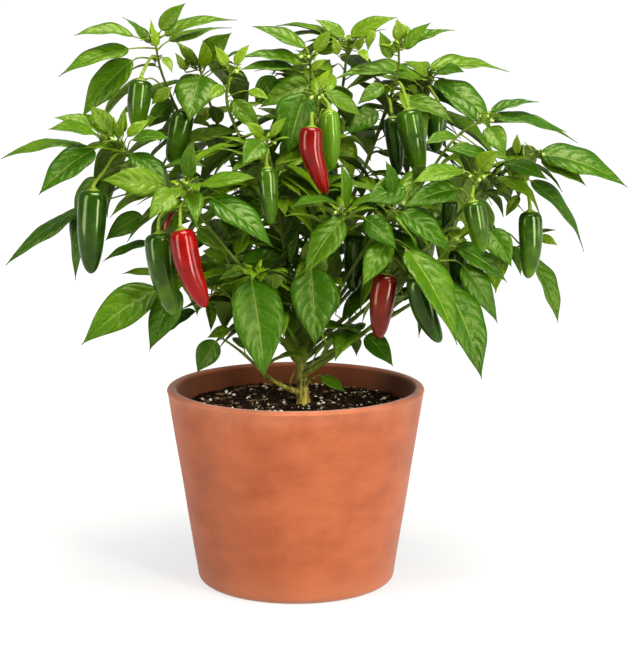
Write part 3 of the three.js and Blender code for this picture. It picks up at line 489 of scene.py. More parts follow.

# %% Fruits
# Branch, colour, where the stalk leaves, the axis from calyx to tip, and the width.
# A fruit listed as deep is painted darker, partly for its own dark green and partly as painted shade where it
# hangs behind the leaves; the one listed as light is painted paler, partly as painted light.
FRUITS = [
    ["top_left", "green", [-142, 516, 6], [[-149, 498, -6], [-152, 474, -8], [-154, 450, -8]], 23],
    ["mid_left", "green", [-104, 484, 20], [[-108, 468, 4], [-114, 440, 0], [-122, 418, 0]], 23],
    ["outer_left", "deep", [-186, 410, -62], [[-197, 390, -76], [-200, 350, -78], [-201, 308, -76]], 28],
    ["front_left", "green", [-132, 364, -112], [[-134, 347, -118], [-131, 312, -120], [-120, 266, -116]], 28],
    ["front_left", "red", [-112, 372, -132], [[-112, 350, -142], [-105, 312, -146], [-89, 273, -142]], 25],
    ["centre_left", "green", [-28, 424, -92], [[-28, 411, -98], [-26, 384, -100], [-24, 356, -98]], 19],
    ["centre_high", "red", [16, 464, -88], [[16, 451, -98], [16, 426, -100], [30, 386, -96]], 22],
    ["centre_high", "light", [29, 478, -70], [[33, 467, -74], [35, 440, -72], [36, 411, -70]], 18],
    ["top_centre_right", "green", [104, 490, -22], [[110, 469, -34], [115, 440, -36], [122, 405, -34]], 25],
    ["top_centre_right", "deep", [92, 476, 2], [[94, 462, -6], [97, 436, -6], [100, 406, -6]], 18],
    ["right_low", "green", [174, 390, -100], [[174, 378, -108], [179, 354, -110], [184, 328, -108]], 20],
    ["outer_right", "green", [226, 396, -40], [[230, 369, -48], [231, 336, -50], [229, 303, -48]], 23],
    ["centre_front", "deep", [54, 362, -58], [[59, 347, -46], [58, 320, -44], [56, 290, -42]], 22],
    ["low_right", "brown", [96, 322, -96], [[90, 306, -108], [85, 276, -110], [82, 242, -108]], 24],
    ["low_right", "deep", [122, 316, -108], [[120, 303, -116], [127, 270, -118], [143, 238, -116]], 23],
    ["right_low", "deep", [162, 350, -58], [[160, 331, -60], [160, 308, -60], [159, 284, -60]], 18],
    ["right_low", "deep", [150, 392, -60], [[152, 380, -60], [150, 364, -58], [148, 346, -56]], 15],
    ["top_right", "deep", [134, 486, 40], [[138, 474, 30], [137, 450, 28], [136, 428, 28]], 20],
    ["back_left", "red", [-120, 392, 146], [[-122, 376, 158], [-124, 344, 160], [-122, 316, 158]], 24],
    ["back_centre", "green", [24, 404, 168], [[28, 388, 178], [30, 356, 180], [26, 326, 178]], 23],
    ["back_right", "green", [130, 388, 150], [[128, 368, 162], [126, 336, 164], [122, 308, 162]], 25],
]

# %% [markdown]
# ## The rule that places the leaves
# The plan is worked out with the same arithmetic as the plain solids, in plain numbers
# rather than Blender's vectors, which keep only seven digits: a leaf that is a hair out
# of place could be refused by one plan and kept by the other. Each leaf stands for a row
# of balls, and a leaf is placed where its balls touch nothing else.


# %% Small vector sums
def add(a, b, share=1.0):
    return (a[0] + b[0] * share, a[1] + b[1] * share, a[2] + b[2] * share)


def sub(a, b):
    return (a[0] - b[0], a[1] - b[1], a[2] - b[2])


def dot(a, b):
    return a[0] * b[0] + a[1] * b[1] + a[2] * b[2]


def cross(a, b):
    return (a[1] * b[2] - a[2] * b[1], a[2] * b[0] - a[0] * b[2], a[0] * b[1] - a[1] * b[0])


def span(a):
    return math.sqrt(dot(a, a))


def unit(a):
    size = span(a)
    return (a[0] / size, a[1] / size, a[2] / size)


def across(v, axis):
    return add(v, axis, -dot(v, axis))


def toward(a, b, share):
    return add(a, sub(b, a), share)


# %% Points as they appear, and smooth branches
EYE_DISTANCE = 1900
EYE_HEIGHT = 616


def seen(x, z, y):
    """The place of a point that appears at x and z when it is y deep."""
    s = (EYE_DISTANCE + y) / EYE_DISTANCE
    return (x * s, y, EYE_HEIGHT + (z - EYE_HEIGHT) * s)


def from_front(p):
    """Where a place appears: the other way round."""
    s = EYE_DISTANCE / (EYE_DISTANCE + p[1])
    return p[0] * s, EYE_HEIGHT + (p[2] - EYE_HEIGHT) * s


def between(p, i, t):
    a = p[max(0, i - 1)]
    b = p[i]
    c = p[min(len(p) - 1, i + 1)]
    d = p[min(len(p) - 1, i + 2)]
    t2 = t * t
    t3 = t2 * t
    return tuple(
        (2 * t3 - 3 * t2 + 1) * b[k] + (t3 - 2 * t2 + t) * (c[k] - a[k]) / 2
        + (-2 * t3 + 3 * t2) * c[k] + (t3 - t2) * (d[k] - b[k]) / 2
        for k in range(3)
    )


def drawn(points, first, last, steps):
    """A smooth line through some of the points, with so many steps from one to the next."""
    return [between(points, i, k / steps) for i in range(first, last) for k in range(steps)] + [points[last]]


# %% The form of a leaf
BLADE_RATIO = 0.46
BLADE_FOLD = 0.1
WIDEST_BLADE = 44
LEAST_TURN = 1.02
READ_ARCH = 0.11
FILL_ARCH = 0.1
OUTLINE = [(0, 0.05), (0.13, 0.66), (0.36, 1), (0.68, 0.64), (1, 0)]


def middle(leaf, s):
    q = 1 - s
    at_base = tuple(v * (q * q) for v in leaf["base"])
    return add(add(at_base, leaf["crest"], 2 * q * s), leaf["tip"], s * s)


def half_width(s):
    for (s0, w0), (s1, w1) in zip(OUTLINE, OUTLINE[1:]):
        if s <= s1:
            return w0 + ((w1 - w0) * (s - s0)) / (s1 - s0)
    return 0


def make_leaf(stem, root, base, tip, face, width, arch):
    along = sub(tip, base)
    length = span(along)
    along = unit(along)
    rise = unit(add(across((0, 0, 1), along), face))
    crest = add(toward(base, tip, 0.5), rise, 2 * arch)
    return dict(stem=stem, root=root, base=base, tip=tip, crest=crest, face=face, width=width, length=length)


def read_leaf(stem, root, base, tip, seen_width, arch):
    along = sub(tip, base)
    length = span(along)
    along = unit(along)
    width = max(seen_width * LEAST_TURN, min(WIDEST_BLADE, length * BLADE_RATIO))
    to_eye = unit(sub((0, -EYE_DISTANCE, EYE_HEIGHT), base))
    front = unit(across(to_eye, along))
    turned = cross(front, along)
    if turned[2] < 0:
        turned = tuple(-v for v in turned)
    c = min(1, seen_width / width)
    face = unit(add(tuple(v * c for v in front), turned, math.sqrt(1 - c * c)))
    return make_leaf(stem, root, base, tip, face, width, READ_ARCH * length if arch is None else arch)


# %% Balls that stand for what is placed
CELL = 24
BALL_RADIUS = 3.5
STALK_BALL = 2
STEM_BALL = 2.6
OTHER_STEM_GAP = 1.5
CALYX_RADIUS = 6.2
NEAR = [(i, j, k) for i in (-1, 0, 1) for j in (-1, 0, 1) for k in (-1, 0, 1)]
cells = {}


def cell_of(p):
    return (math.floor(p[0] / CELL), math.floor(p[1] / CELL), math.floor(p[2] / CELL))


def keep(p, r, stem, kind, s):
    x, y, z = cell_of(p)
    for i, j, k in NEAR:
        cells.setdefault((x + i, y + j, z + k), []).append((p, r, stem, kind, s))


def is_clear(p, r, stem, s):
    for q, reach, other, kind, at in cells.get(cell_of(p), ()):
        own = other == stem
        if own and kind != "fruit" and (s < 0.3 or at < 0.2):
            continue
        reach = r + reach + (0 if own else OTHER_STEM_GAP)
        away = sub(p, q)
        if dot(away, away) < reach * reach:
            return False
    return True


def balls_of(leaf):
    balls = [(toward(leaf["root"], leaf["base"], t), STALK_BALL, 0) for t in (0.3, 0.5, 0.7, 0.9)]
    steps = max(4, math.floor(leaf["length"] / 11 + 0.5))
    for i in range(steps + 1):
        s = 0.04 + (0.96 * i) / steps
        p = middle(leaf, s)
        along = unit(sub(middle(leaf, min(1, s + 0.02)), middle(leaf, max(0, s - 0.02))))
        face = unit(across(leaf["face"], along))
        side = cross(along, face)
        half = (leaf["width"] / 2) * half_width(s)
        for e in (-0.9, -0.45, 0, 0.45, 0.9) if half > 5 else (0,):
            balls.append((add(add(p, side, half * e), face, BLADE_FOLD * half * abs(e)), BALL_RADIUS, s))
    return balls


# %% What is covered from the front
VIEW_CELL = 12
cover = {}
filled = set()
leaves = []


def cover_key(p):
    return tuple(math.floor(v / VIEW_CELL) for v in from_front(p))


def is_behind(p):
    """Whether a place lies behind what was placed there from the lists, if anything was."""
    return p[1] > cover.get(cover_key(p), -math.inf)


def place(leaf, by_hand):
    for p, r, s in balls_of(leaf):
        keep(p, r, leaf["stem"], "leaf", s)
        key = cover_key(p)
        filled.add(key)
        if by_hand and s >= 0.1:
            cover[key] = min(cover.get(key, math.inf), p[1])
    leaf["by_hand"] = by_hand
    leaves.append(leaf)


# %% Lay out branches and fruits
ROOT_BACK = 12
FRONT_FRUITS = 18
stems = {}
for name, path in STEMS.items():
    points = [seen(*p) for p in path]
    last = len(points) - 1
    wood = 1 if last > 1 else 0
    stems[name] = dict(points=points, wood=wood, green=drawn(points, wood, last, 2))
    for p in drawn(points, 0, last, 12):
        keep(p, STEM_BALL, name, "stem", 0)


def along_stem(stem):
    green = stems[stem]["green"]
    return [toward(a, b, k / 6) for a, b in zip(green, green[1:]) for k in range(6)] + [green[-1]]


def root_on(stem, base):
    line = along_stem(stem)
    gaps = [dot(sub(p, base), sub(p, base)) for p in line]
    best = gaps.index(min(gaps))
    back = math.floor(span(sub(line[best], base)) / ROOT_BACK + 0.5)
    return line[max(0, min(max(3, best - back), len(line) - 2))]


fruits = []
for number, (stem, colour, start, axis, width) in enumerate(FRUITS):
    points = [seen(*p) for p in axis]
    start = seen(*start)
    fruit = dict(stem=stem, colour=colour, points=points, start=start, width=width)
    fruit["root"] = root_on(stem, start)
    for p in drawn(points, 0, len(points) - 1, 4):
        keep(p, width / 2, stem, "fruit", 1)
        if number < FRONT_FRUITS:
            key = cover_key(p)
            cover[key] = min(cover.get(key, math.inf), p[1] - width / 2)
    for t in (0.3, 0.65, 1):
        keep(toward(fruit["root"], start, t), STALK_BALL, stem, "fruit", 1)
    keep(points[0], CALYX_RADIUS, stem, "fruit", 1)
    fruits.append(fruit)
print("branches:", len(stems), "fruits:", len(fruits))

# %% Lay out the leaves that are read one by one
DEPTH_SHIFTS = [0, -9, 9, -18, 18, -27, 27, -36, 36, -48, 48]


def place_read(stem, b, t, width, arch=None, ball=None):
    """Places a leaf where it was read, or a little nearer or farther where that is taken."""
    for shift in DEPTH_SHIFTS:
        base = seen(b[0], b[1], b[2] + shift / 3)
        tip = seen(t[0], t[1], t[2] + shift)
        tried = read_leaf(stem, root_on(stem, base), base, tip, width, arch)
        if all(is_clear(p, ball or r, stem, s) for p, r, s in balls_of(tried)):
            place(tried, True)
            return


for stem, rows in LEAVES.items():
    for row in rows:
        place_read(stem, *row)
print("leaves placed by hand:", len(leaves))

# %% [markdown]
# The rest of the bush is filled by chance: so many leaves along each branch, turned
# outward. Of the ways tried for a leaf, the one is kept that covers most of what is still
# bare from the front, inside a rounded crown and behind the leaves and fruits read one by
# one. The chance comes from a small seeded sum, so it falls out alike each time.

# %% Fill the bush
CROWN = (12, 6, 388)
CROWN_SIZE = (236, 205, 162)
FILL_TRIES = 36
FILL_LENGTH, FILL_LENGTH_MORE = 66, 30
FILL_STALK, FILL_STALK_MORE = 16, 12
FILL_SPREAD = 3.6  # radians, round the way outward
FILL_DROOP, FILL_DROOP_MORE = 0.15, 0.85
NEXT_TURN = 0.26
FILL = {
    "centre_high": 7, "centre_left": 6, "centre_front": 5, "centre_right": 5, "left_centre": 6,
    "top_centre_left": 6, "top_centre_right": 5, "right_low": 4, "front_left": 3, "low_right": 3, "right": 4,
    "mid_left": 5, "top_centre": 5, "top_right": 5, "top_left": 4, "outer_left": 2, "outer_right": 3,
    "outer_right_low": 4, "low_left": 2, "back_left": 7, "back_centre": 7, "back_right": 7, "back_low": 3,
}
state = 20481


def chance():
    global state
    state = (state * 1664525 + 1013904223) % 4294967296
    return state / 4294967296


def in_crown(p):
    a, b, c = ((p[k] - CROWN[k]) / CROWN_SIZE[k] for k in range(3))
    return a * a + b * b + c * c < 1


def fill_leaf(stem, root, turn, pitch, stalk, length):
    out = (math.cos(turn), math.sin(turn), 0)
    base = add(root, out, stalk * 0.85)
    base = (base[0], base[1], base[2] + stalk * 0.5)
    tip = add(base, out, length * math.cos(pitch))
    tip = (tip[0], tip[1], tip[2] + length * math.sin(pitch))
    way = unit(sub(tip, base))
    face = unit(across((0.3 * out[0], 0.3 * out[1] - 0.15, 1), way))
    return make_leaf(stem, root, base, tip, face, length * BLADE_RATIO, FILL_ARCH * length)


def newly_covered(balls):
    return 1 + len({cover_key(p) for p, r, s in balls} - filled)


def place_best(tries, value_of, inside, ball=None):
    """Places the leaf of the highest value among those that fit, and returns it."""
    best, most = None, 0
    for leaf in tries:
        balls = balls_of(leaf)
        value = value_of(balls)
        if value > most and all(
            inside(p) and is_behind(p) and is_clear(p, ball or r, leaf["stem"], s) for p, r, s in balls
        ):
            best, most = leaf, value
    if best:
        place(best, False)
    return best


def fill_tries(stem, root):
    """One leaf, tried this way and that way round, lower and shorter."""
    length = FILL_LENGTH + FILL_LENGTH_MORE * chance()
    stalk = FILL_STALK + FILL_STALK_MORE * chance()
    start = math.atan2(root[1] - CROWN[1], root[0] - CROWN[0]) + FILL_SPREAD * (chance() - 0.5)
    pitch = -FILL_DROOP - FILL_DROOP_MORE * chance()
    for n in range(FILL_TRIES):
        turn = start + (NEXT_TURN if n % 2 else -NEXT_TURN) * math.ceil(n / 2)
        low = pitch - 0.15 * (n % 3) if n % 3 else pitch
        yield fill_leaf(stem, root, turn, low, stalk, length * (1 - 0.008 * n))


for stem, count in FILL.items():
    line = along_stem(stem)
    for i in range(count):
        at = 0.1 + (0.88 * (i + 0.5)) / count
        root = line[math.floor(at * (len(line) - 1) + 0.5)]
        place_best(fill_tries(stem, root), newly_covered, in_crown)
print("leaves in all:", len(leaves))

# %% [markdown]
# ## The small leaves inside the bush
# The real plant is so leafy that its branches hardly show. The plain solids hold only its
# large leaves, so small ones are added here, all over each branch and turned every way.
# They obey the same rule: they touch nothing, they stay inside the crown, and from the
# front they stay behind the listed leaves and fruits. Seen from there,
# the real crown has a few openings, which stay open, and a few crowded spots, which are
# filled first. Both are given as circles: across, up and radius.

# %% Leaves between the large ones, read one by one
MORE_LEAVES = [
    ["mid_left", [-87, 512, 46], [-89, 538, 40], 15],
    ["mid_left", [-108, 509, 44], [-116, 525, 40], 8],
    ["mid_left", [-107, 508, 50], [-103, 523, 52], 8],
    ["top_left", [-134, 530, 8], [-139, 552, 4], 9],
    ["top_left", [-127, 520, 10], [-119, 505, -4], 9],
    ["top_centre_right", [113, 536, 14], [96, 555, 24], 9],
    ["top_centre_right", [105, 528, -4], [131, 553, -12], 14],
    ["top_centre_right", [95, 524, 12], [104, 542, 14], 10],
    ["top_centre", [75, 547, 48], [70, 526, 44], 10],
    ["top_centre", [62, 527, 44], [71, 515, 40], 9],
    ["top_centre", [41, 523, 50], [36, 541, 46], 10],
    ["top_right", [128, 503, 60], [105, 517, 52], 11],
    ["top_right", [132, 490, 58], [171, 459, 34], 12],
    ["top_centre_left", [16, 508, 2], [31, 518, -6], 9],
    ["mid_left", [-79, 470, 58], [-101, 456, 50], 13],
    ["outer_left", [-173, 441, -48], [-165, 467, -52], 10],
    ["outer_left", [-163, 443, -42], [-141, 459, -34], 11],
    ["outer_left", [-193, 402, -30], [-217, 368, -24], 13],
    ["left_centre", [-45, 487, -30], [-25, 478, -44], 10],
    ["right", [190, 421, -66], [146, 430, -76], 13],
    ["outer_right", [219, 385, -16], [206, 364, -20], 11],
    ["outer_right", [210, 402, -10], [196, 384, -20], 12],
]
SMALL_BALL = 0.5
for row in MORE_LEAVES:
    place_read(*row, ball=SMALL_BALL)
print("with the leaves between:", len(leaves))

# %% Small leaves
SMALL_LEAVES = 27
SMALL_TRIES = 24
SMALL_CROWN = 1.07
SMALL_PITCH = (-1.0, 0.55)
SMALL_STALK = (6, 16)
SMALL_LENGTH = (28, 66)
CROWDED_WORTH = 6
SPARSE = {"low_shoot": 1, "rim_left": 2, "right_low": 4, "outer_right_low": 5}
OPENINGS = [
    (-59, 488, 13), (57, 490, 12), (225, 444, 18), (111, 252, 22), (-81, 357, 10), (210, 350, 10),
    (-131, 497, 10), (77, 417, 8), (174, 441, 9), (90, 228, 20), (85, 255, 14),
]
CROWDED = [
    (30, 516, 16), (73, 537, 14), (125, 540, 16), (-88, 461, 12), (-40, 504, 14), (53, 436, 12),
    (157, 465, 14), (-141, 527, 10), (-132, 436, 14), (-153, 377, 14), (206, 372, 12),
]
luck = np.random.default_rng(5)


def within(point, circles):
    return any((point[0] - x) ** 2 + (point[1] - z) ** 2 < r * r for x, z, r in circles)


def worth(balls):
    """How much of what is still bare from the front a leaf would cover. 0 if it fills an opening."""
    fresh = {}
    for p, r, s in balls:
        point = from_front(p)
        if within(point, OPENINGS):
            return 0
        if cover_key(p) not in filled:
            fresh[cover_key(p)] = CROWDED_WORTH if within(point, CROWDED) else 1
    return 1 + sum(fresh.values())


def small_leaf(stem, line):
    root = line[int(luck.uniform(0.02, 0.97) * (len(line) - 1))]
    turn, pitch = luck.uniform(0, 2 * math.pi), luck.uniform(*SMALL_PITCH)
    stalk, length = luck.uniform(*SMALL_STALK), luck.uniform(*SMALL_LENGTH)
    leaf = fill_leaf(stem, root, turn, pitch, stalk, length)
    leaf["width"] *= luck.uniform(0.85, 1.1)
    return leaf


def in_small_crown(p):
    return in_crown(tuple(c + (v - c) / SMALL_CROWN for v, c in zip(p, CROWN)))


for stem in STEMS:
    line = along_stem(stem)
    for n in range(SPARSE.get(stem, SMALL_LEAVES)):
        tries = (small_leaf(stem, line) for attempt in range(SMALL_TRIES))
        leaf = place_best(tries, worth, in_small_crown, SMALL_BALL)
        if leaf:
            leaf["small"] = True
print("with the small leaves:", len(leaves))

# %% Ease the arches
# A leaf that was read arches a little more than half as high as the plain one.
ARCH_EASE = 0.55
for leaf in leaves:
    if leaf["by_hand"]:
        leaf["crest"] = toward(toward(leaf["base"], leaf["tip"], 0.5), leaf["crest"], ARCH_EASE)


# %% [markdown]
# ## The leaf blades
# A chilli leaf is a thin oval that runs out into a point. Its two halves rise from the
# midrib and fall again to the margin, the margin waves, the tissue puffs up between the
# side veins, and the whole leaf arches and twists as it hangs. Two flat paper patterns are
# made, a large and a small, each a fine grid given a thickness, and one of them is bent
# anew for each leaf, so each is its own shape and all leaves of a size cost the same
# number of faces. The pattern also carries the map that the finish reads: along the leaf
# one way and across it the other.


# %% The flat pattern
def flat_pattern(name, steps, strips):
    made = bmesh.new()
    bmesh.ops.create_grid(made, x_segments=steps, y_segments=strips, size=1)
    flat_map = made.loops.layers.uv.new("blade")
    for face in made.faces:
        for loop in face.loops:
            loop[flat_map].uv = (loop.vert.co.x / 2 + 0.5, loop.vert.co.y / 2 + 0.5)
    bmesh.ops.solidify(made, geom=made.faces[:], thickness=1)
    bmesh.ops.recalc_face_normals(made, faces=made.faces[:])
    bmesh.ops.reverse_faces(made, faces=made.faces[:])
    mesh = bpy.data.meshes.new(name)
    made.to_mesh(mesh)
    made.free()
    flat = np.array([v.co for v in mesh.vertices])
    print(name, "points:", len(flat), "faces:", len(mesh.polygons))
    below = np.abs(flat[:, 2] - flat[:, 2].max())
    return dict(mesh=mesh, along=flat[:, 0] / 2 + 0.5, across=flat[:, 1], below=below)


LARGE_BLADE = flat_pattern("large_blade", 34, 8)
SMALL_BLADE = flat_pattern("small_blade", 12, 4)

# %% Bend the pattern into one leaf
BLADE_THICK = 0.5
WIDEST_AT = 0.36
BASE_ROUND = (2.2, 0.60)
TIP_ROUND = (1.9, 1.5)
LEAST_SHARE = 0.02
FULL_LENGTH = 95
FEW_VEINS = 4.0
MORE_VEINS = 3.0
VEIN_SLANT = 0.24
PUFF = 0.85
FULL_PUFF_WIDTH = 36
TWIST = 0.65
TWIST_FROM = 0.38
FOLD = (0.32, 0.60)
CURL = (0.20, 0.46)
WAVES = (1.6, 2.8)
WAVE = 0.06
fate = np.random.default_rng(11)


def any_turn():
    return fate.uniform(0, 6.28)


def blade_share(s):
    """Half the width at s, as a share of the greatest."""
    back = np.clip(1 - s / WIDEST_AT, 0, 1)
    ahead = np.clip((s - WIDEST_AT) / (1 - WIDEST_AT), 0, 1)
    rounded = (1 - back ** BASE_ROUND[0]) ** BASE_ROUND[1] * (1 - ahead ** TIP_ROUND[0]) ** TIP_ROUND[1]
    return np.maximum(LEAST_SHARE, rounded)


def grown(leaf):
    """How near a leaf is to full size, from 0 to 1."""
    return min(1.0, leaf["length"] / FULL_LENGTH)


def rows_unit(rows):
    return rows / np.linalg.norm(rows, axis=1, keepdims=True)


def bent(leaf, pattern):
    """The pattern's points on this leaf, in millimetres."""
    along, across_it, below = pattern["along"], pattern["across"], pattern["below"]
    s = along[:, None]
    q = 1 - s
    base, crest, tip = (np.array(leaf[k]) for k in ("base", "crest", "tip"))
    centre = base * q * q + crest * 2 * q * s + tip * s * s
    ahead = rows_unit((crest - base) * q + (tip - crest) * s)
    face = np.array(leaf["face"])
    over = rows_unit(face - (ahead @ face)[:, None] * ahead)
    side = np.cross(ahead, over)
    twist = (fate.uniform(-TWIST, TWIST) * (along - TWIST_FROM))[:, None]
    side, over = side * np.cos(twist) + over * np.sin(twist), over * np.cos(twist) - side * np.sin(twist)
    half = leaf["width"] / 2 * blade_share(along)
    e = np.abs(across_it)
    fold, curl = fate.uniform(*FOLD), fate.uniform(*CURL)
    phase, waves = fate.uniform(0, 6.28, 2), fate.uniform(*WAVES)
    wave = np.sin(6.28 * waves * along + np.where(across_it > 0, phase[0], phase[1]))
    veins = FEW_VEINS + MORE_VEINS * grown(leaf)
    vein = (along - VEIN_SLANT * e ** 1.1) * veins + np.where(across_it > 0, 0.5, 0)
    puff = PUFF * min(1, leaf["width"] / FULL_PUFF_WIDTH)
    puff = puff * (0.5 - 0.5 * np.cos(6.2832 * vein)) * np.sin(3.14 * e) ** 1.1
    up = half * (fold * e - curl * e * e + WAVE * wave * e * e) + puff * np.clip(1.15 - along, 0, 1)
    up = up - below * BLADE_THICK * (1.15 - 0.5 * e)
    spread = half * np.sign(across_it) * e * (1 - 0.05 * e)
    return centre + side * spread[:, None] + over * up[:, None]


# %% [markdown]
# ## Leaf stalks
# A leaf stalk leaves the branch, swings round to the direction of the leaf and goes on
# under it as the midrib, thinner and thinner. One curve does both: a bend between the
# two ends, then the leaf's own middle line just below the blade.

# %% The path of a stalk and midrib
STALK_STEPS = 9
STALK_LIFT = 0.05
STALK_RADIUS = 1.0  # at the branch; a quarter less at the blade
RIB_STEPS = 9
RIB_END = 0.86
RIB_RADIUS = 0.75


def leaf_stalk(leaf, fine=1.0):
    root, base, crest = (np.array(leaf[k]) for k in ("root", "base", "crest"))
    reach = np.linalg.norm(base - root)
    way = (crest - base) / np.linalg.norm(crest - base)
    leave = root + (base - root) * 0.4 + np.array([0, 0, STALK_LIFT * reach])
    arrive = base - way * min(0.35 * reach, 9)
    path, radii = [], []
    size = min(1.0, 0.55 + leaf["length"] / 160)
    for t in np.linspace(0, 1, round(STALK_STEPS * fine)):
        u = 1 - t
        path.append(root * u ** 3 + 3 * leave * u * u * t + 3 * arrive * u * t * t + base * t ** 3)
        radii.append(size * (STALK_RADIUS - 0.25 * t))
    face = np.array(leaf["face"])
    for s in np.linspace(0, RIB_END, round(RIB_STEPS * fine))[1:]:
        radius = size * (RIB_RADIUS - 0.62 * s)
        path.append(np.array(middle(leaf, s)) - face * (radius * 0.75))
        radii.append(radius)
    return path, radii


# %% [markdown]
# ## What grows at the tips
# Each shoot ends in a tuft of leaves that have only just opened, with a few flower buds
# on thin stalks that nod. They are too small for the plain solids, so they are added
# here. A tuft leaf is the same pattern, bent small.

# %% Tufts and buds
YOUNG_LEAVES = 5
YOUNG_RATIO = 0.42
YOUNG_ARCH = 0.12
GOLDEN_TURN = 2.4


def tuft(stem):
    """The young leaves at a shoot's end."""
    green = stems[stem]["green"]
    end, before = np.array(green[-1]), np.array(green[-2])
    up = (end - before) / np.linalg.norm(end - before)
    first = any_turn()
    made = []
    for n in range(YOUNG_LEAVES):
        turn = first + n * GOLDEN_TURN
        out = np.array([math.cos(turn), math.sin(turn), 0.35])
        out = out - up * (out @ up) * 0.5
        out /= np.linalg.norm(out)
        root = end - up * (1.5 * n)
        length = 7 + 2.7 * n + fate.uniform(-1.5, 1.5)
        lift = 0.9 - 0.14 * n
        base = root + (out + up * lift) * (1.5 + 0.9 * n)
        tip = base + (out + up * (lift - 0.25)) * length
        face = up * 0.9 - out * 0.35
        places = (tuple(v) for v in (root, base, tip))
        made.append(make_leaf(stem, *places, unit(tuple(face)), length * YOUNG_RATIO, YOUNG_ARCH * length))
    return made


def dress(ball, index):
    """Gives the faces of a ball their finish, by its place in the piece's list."""
    for face in {f for v in ball["verts"] for f in v.link_faces}:
        face.material_index = index


def flower_bud(bm, root, way, length, size):
    """A bud on a nodding stalk: a stretched ball with the cut-off cup of its calyx."""
    root, way = np.array(root), np.array(way)
    bend = root + way * length * 0.6
    end = root + way * length * 0.95 - np.array([0, 0, 0.35 * length])
    curve = [root * (1 - t) ** 2 + 2 * bend * t * (1 - t) + end * t * t for t in np.linspace(0, 1, 6)]
    push(bm, curve, [0.55, 0.5, 0.5, 0.5, 0.6, 0.9 * size], 6, 1)
    down = Vector(curve[-1] - curve[-2]).normalized()
    turn = down.to_track_quat("Z", "Y")
    centre = Vector(curve[-1]) + down * size * 1.0
    shape = Matrix.LocRotScale(centre * MM, turn, Vector((size, size, 1.45 * size)) * MM)
    ball = bmesh.ops.create_icosphere(bm, subdivisions=2, radius=1, matrix=shape)
    dress(ball, 2)


# %% [markdown]
# ## Finishes of the green parts
# The leaf finish reads the blade's own map. One direction runs from base to tip and the
# other from margin to margin, so a pale midrib is a band in the middle and the side veins
# are slanting stripes that start at it. Four numbers stored on each leaf say how light
# its green is, how young it is, how near to full size, and which face is the dull
# underside. A small leaf gets fewer veins and lower hills between them.

# %% Leaf finish
DEEP_GREENS = (0.0083, 0.039, 0.0004), (0.0205, 0.072, 0.0008)
FRESH_GREENS = (0.039, 0.089, 0.001), (0.084, 0.152, 0.002)
YOUNG_GREEN = (0.16, 0.24, 0.008)
VEIN_GREEN = (0.18, 0.26, 0.025)
RIB_GREEN = (0.20, 0.27, 0.04)
UNDER_GREENS = (0.070, 0.125, 0.014), (0.20, 0.26, 0.05)

blade = Finish("leaf_skin")
blade_map = blade.node("UVMap", {"uv_map": "blade"}, {})
along_leaf = blade.node("SeparateXYZ", {}, {0: blade_map}, 0)
over_leaf = blade.node("SeparateXYZ", {}, {0: blade_map}, 1)
from_rib = abs(over_leaf * 2 - 1)
blotch = blade.noise(blade.place(), 38.0, 3.0, 0.6)
grain = blade.noise(blade.place(), 900.0, 2.0, 0.6)
warp = blade.noise(blade.place(), 70.0, 2.0, 0.5)
crinkle = blade.noise(blade.place(), 300.0, 3.0, 0.55)
leaf_size = blade.given("size")
vein_count = leaf_size * MORE_VEINS + FEW_VEINS
stripe = (along_leaf - from_rib ** 1.1 * VEIN_SLANT) * vein_count
stripe = stripe + (over_leaf > 0.5) * 0.5 + (warp - 0.5) * 0.9
ridge = abs(stripe % 1 - 0.5) * 2
rib = 1 - blade.step(from_rib, 0.008, 0.055)
side_vein = blade.step(ridge, 0.8, 0.99) * (1 - blade.step(from_rib, 0.7, 1.0))
# The last term of the lightness is painted shade in the grooves of the side veins and painted light on the
# puffs between them.
lightness = blade.given("tone") + (crinkle - 0.5) * 0.6 + (blotch - 0.5) * 0.6 + (0.45 - ridge) * 0.16
upper = blade.mix(lightness, blade.mix(blotch, *DEEP_GREENS), blade.mix(blotch, *FRESH_GREENS))
upper = blade.mix(blade.given("youth"), upper, YOUNG_GREEN)
upper = blade.mix(side_vein * 0.07, upper, VEIN_GREEN)
upper = blade.mix(rib * 0.32, upper, RIB_GREEN)
under = blade.given("under")
hills = (1 - ridge ** 1.7) * (leaf_size * 0.58 + 0.02)
hills = hills + crinkle * 0.36 + grain * 0.1 + blotch * 0.3 - rib * 0.3
LEAF = blade.surface({
    "Base Color": blade.mix(under, upper, blade.mix(rib * 0.7 + side_vein * 0.25, *UNDER_GREENS)),
    "Roughness": 0.19 + blotch * 0.18 + crinkle * 0.12 + under * 0.26,
    "Specular IOR Level": 0.23,
    "Specular Tint": (0.92, 1.0, 0.40),
}, hills, 0.0013, 0.8)

# %% [markdown]
# A shoot is yellow-green and smooth at its tip, and tan, corky and furrowed at its foot.
# One finish covers both, because the change is gradual: it goes by the height above the
# ground. The furrows are noise that is drawn out along the stem's upward direction.

# %% Stem and wood finishes
SOFT_GREENS = (0.036, 0.060, 0.004), (0.088, 0.122, 0.009)
CORK_TANS = (0.018, 0.017, 0.003), (0.46, 0.36, 0.06)
STALK_GREEN = (0.12, 0.18, 0.010)
WOOD_BELOW, GREEN_ABOVE = 0.190, 0.260  # metres above the ground

shoot = Finish("stem_skin")
shoot_height = shoot.node("SeparateXYZ", {}, {0: shoot.place()}, 2)
streak = shoot.noise(shoot.stretched(1, 1, 0.16), 430.0, 3.0)
spots = shoot.noise(shoot.place(), 110.0, 3.0)
soft = shoot.mix(spots, *SOFT_GREENS)
corky = shoot.mix(shoot.step(streak * 0.55 + spots * 0.45, 0.40, 0.60), *CORK_TANS)
woody = 1 - shoot.step(shoot_height + spots * 0.05, WOOD_BELOW, GREEN_ABOVE)
STEM = shoot.surface({
    "Base Color": shoot.mix(woody, shoot.mix(shoot.given("youth"), soft, STALK_GREEN), corky),
    "Roughness": 0.40 + woody * 0.25,
    "Specular IOR Level": 0.16,
}, streak + spots * 0.5, 0.0005, 0.6)

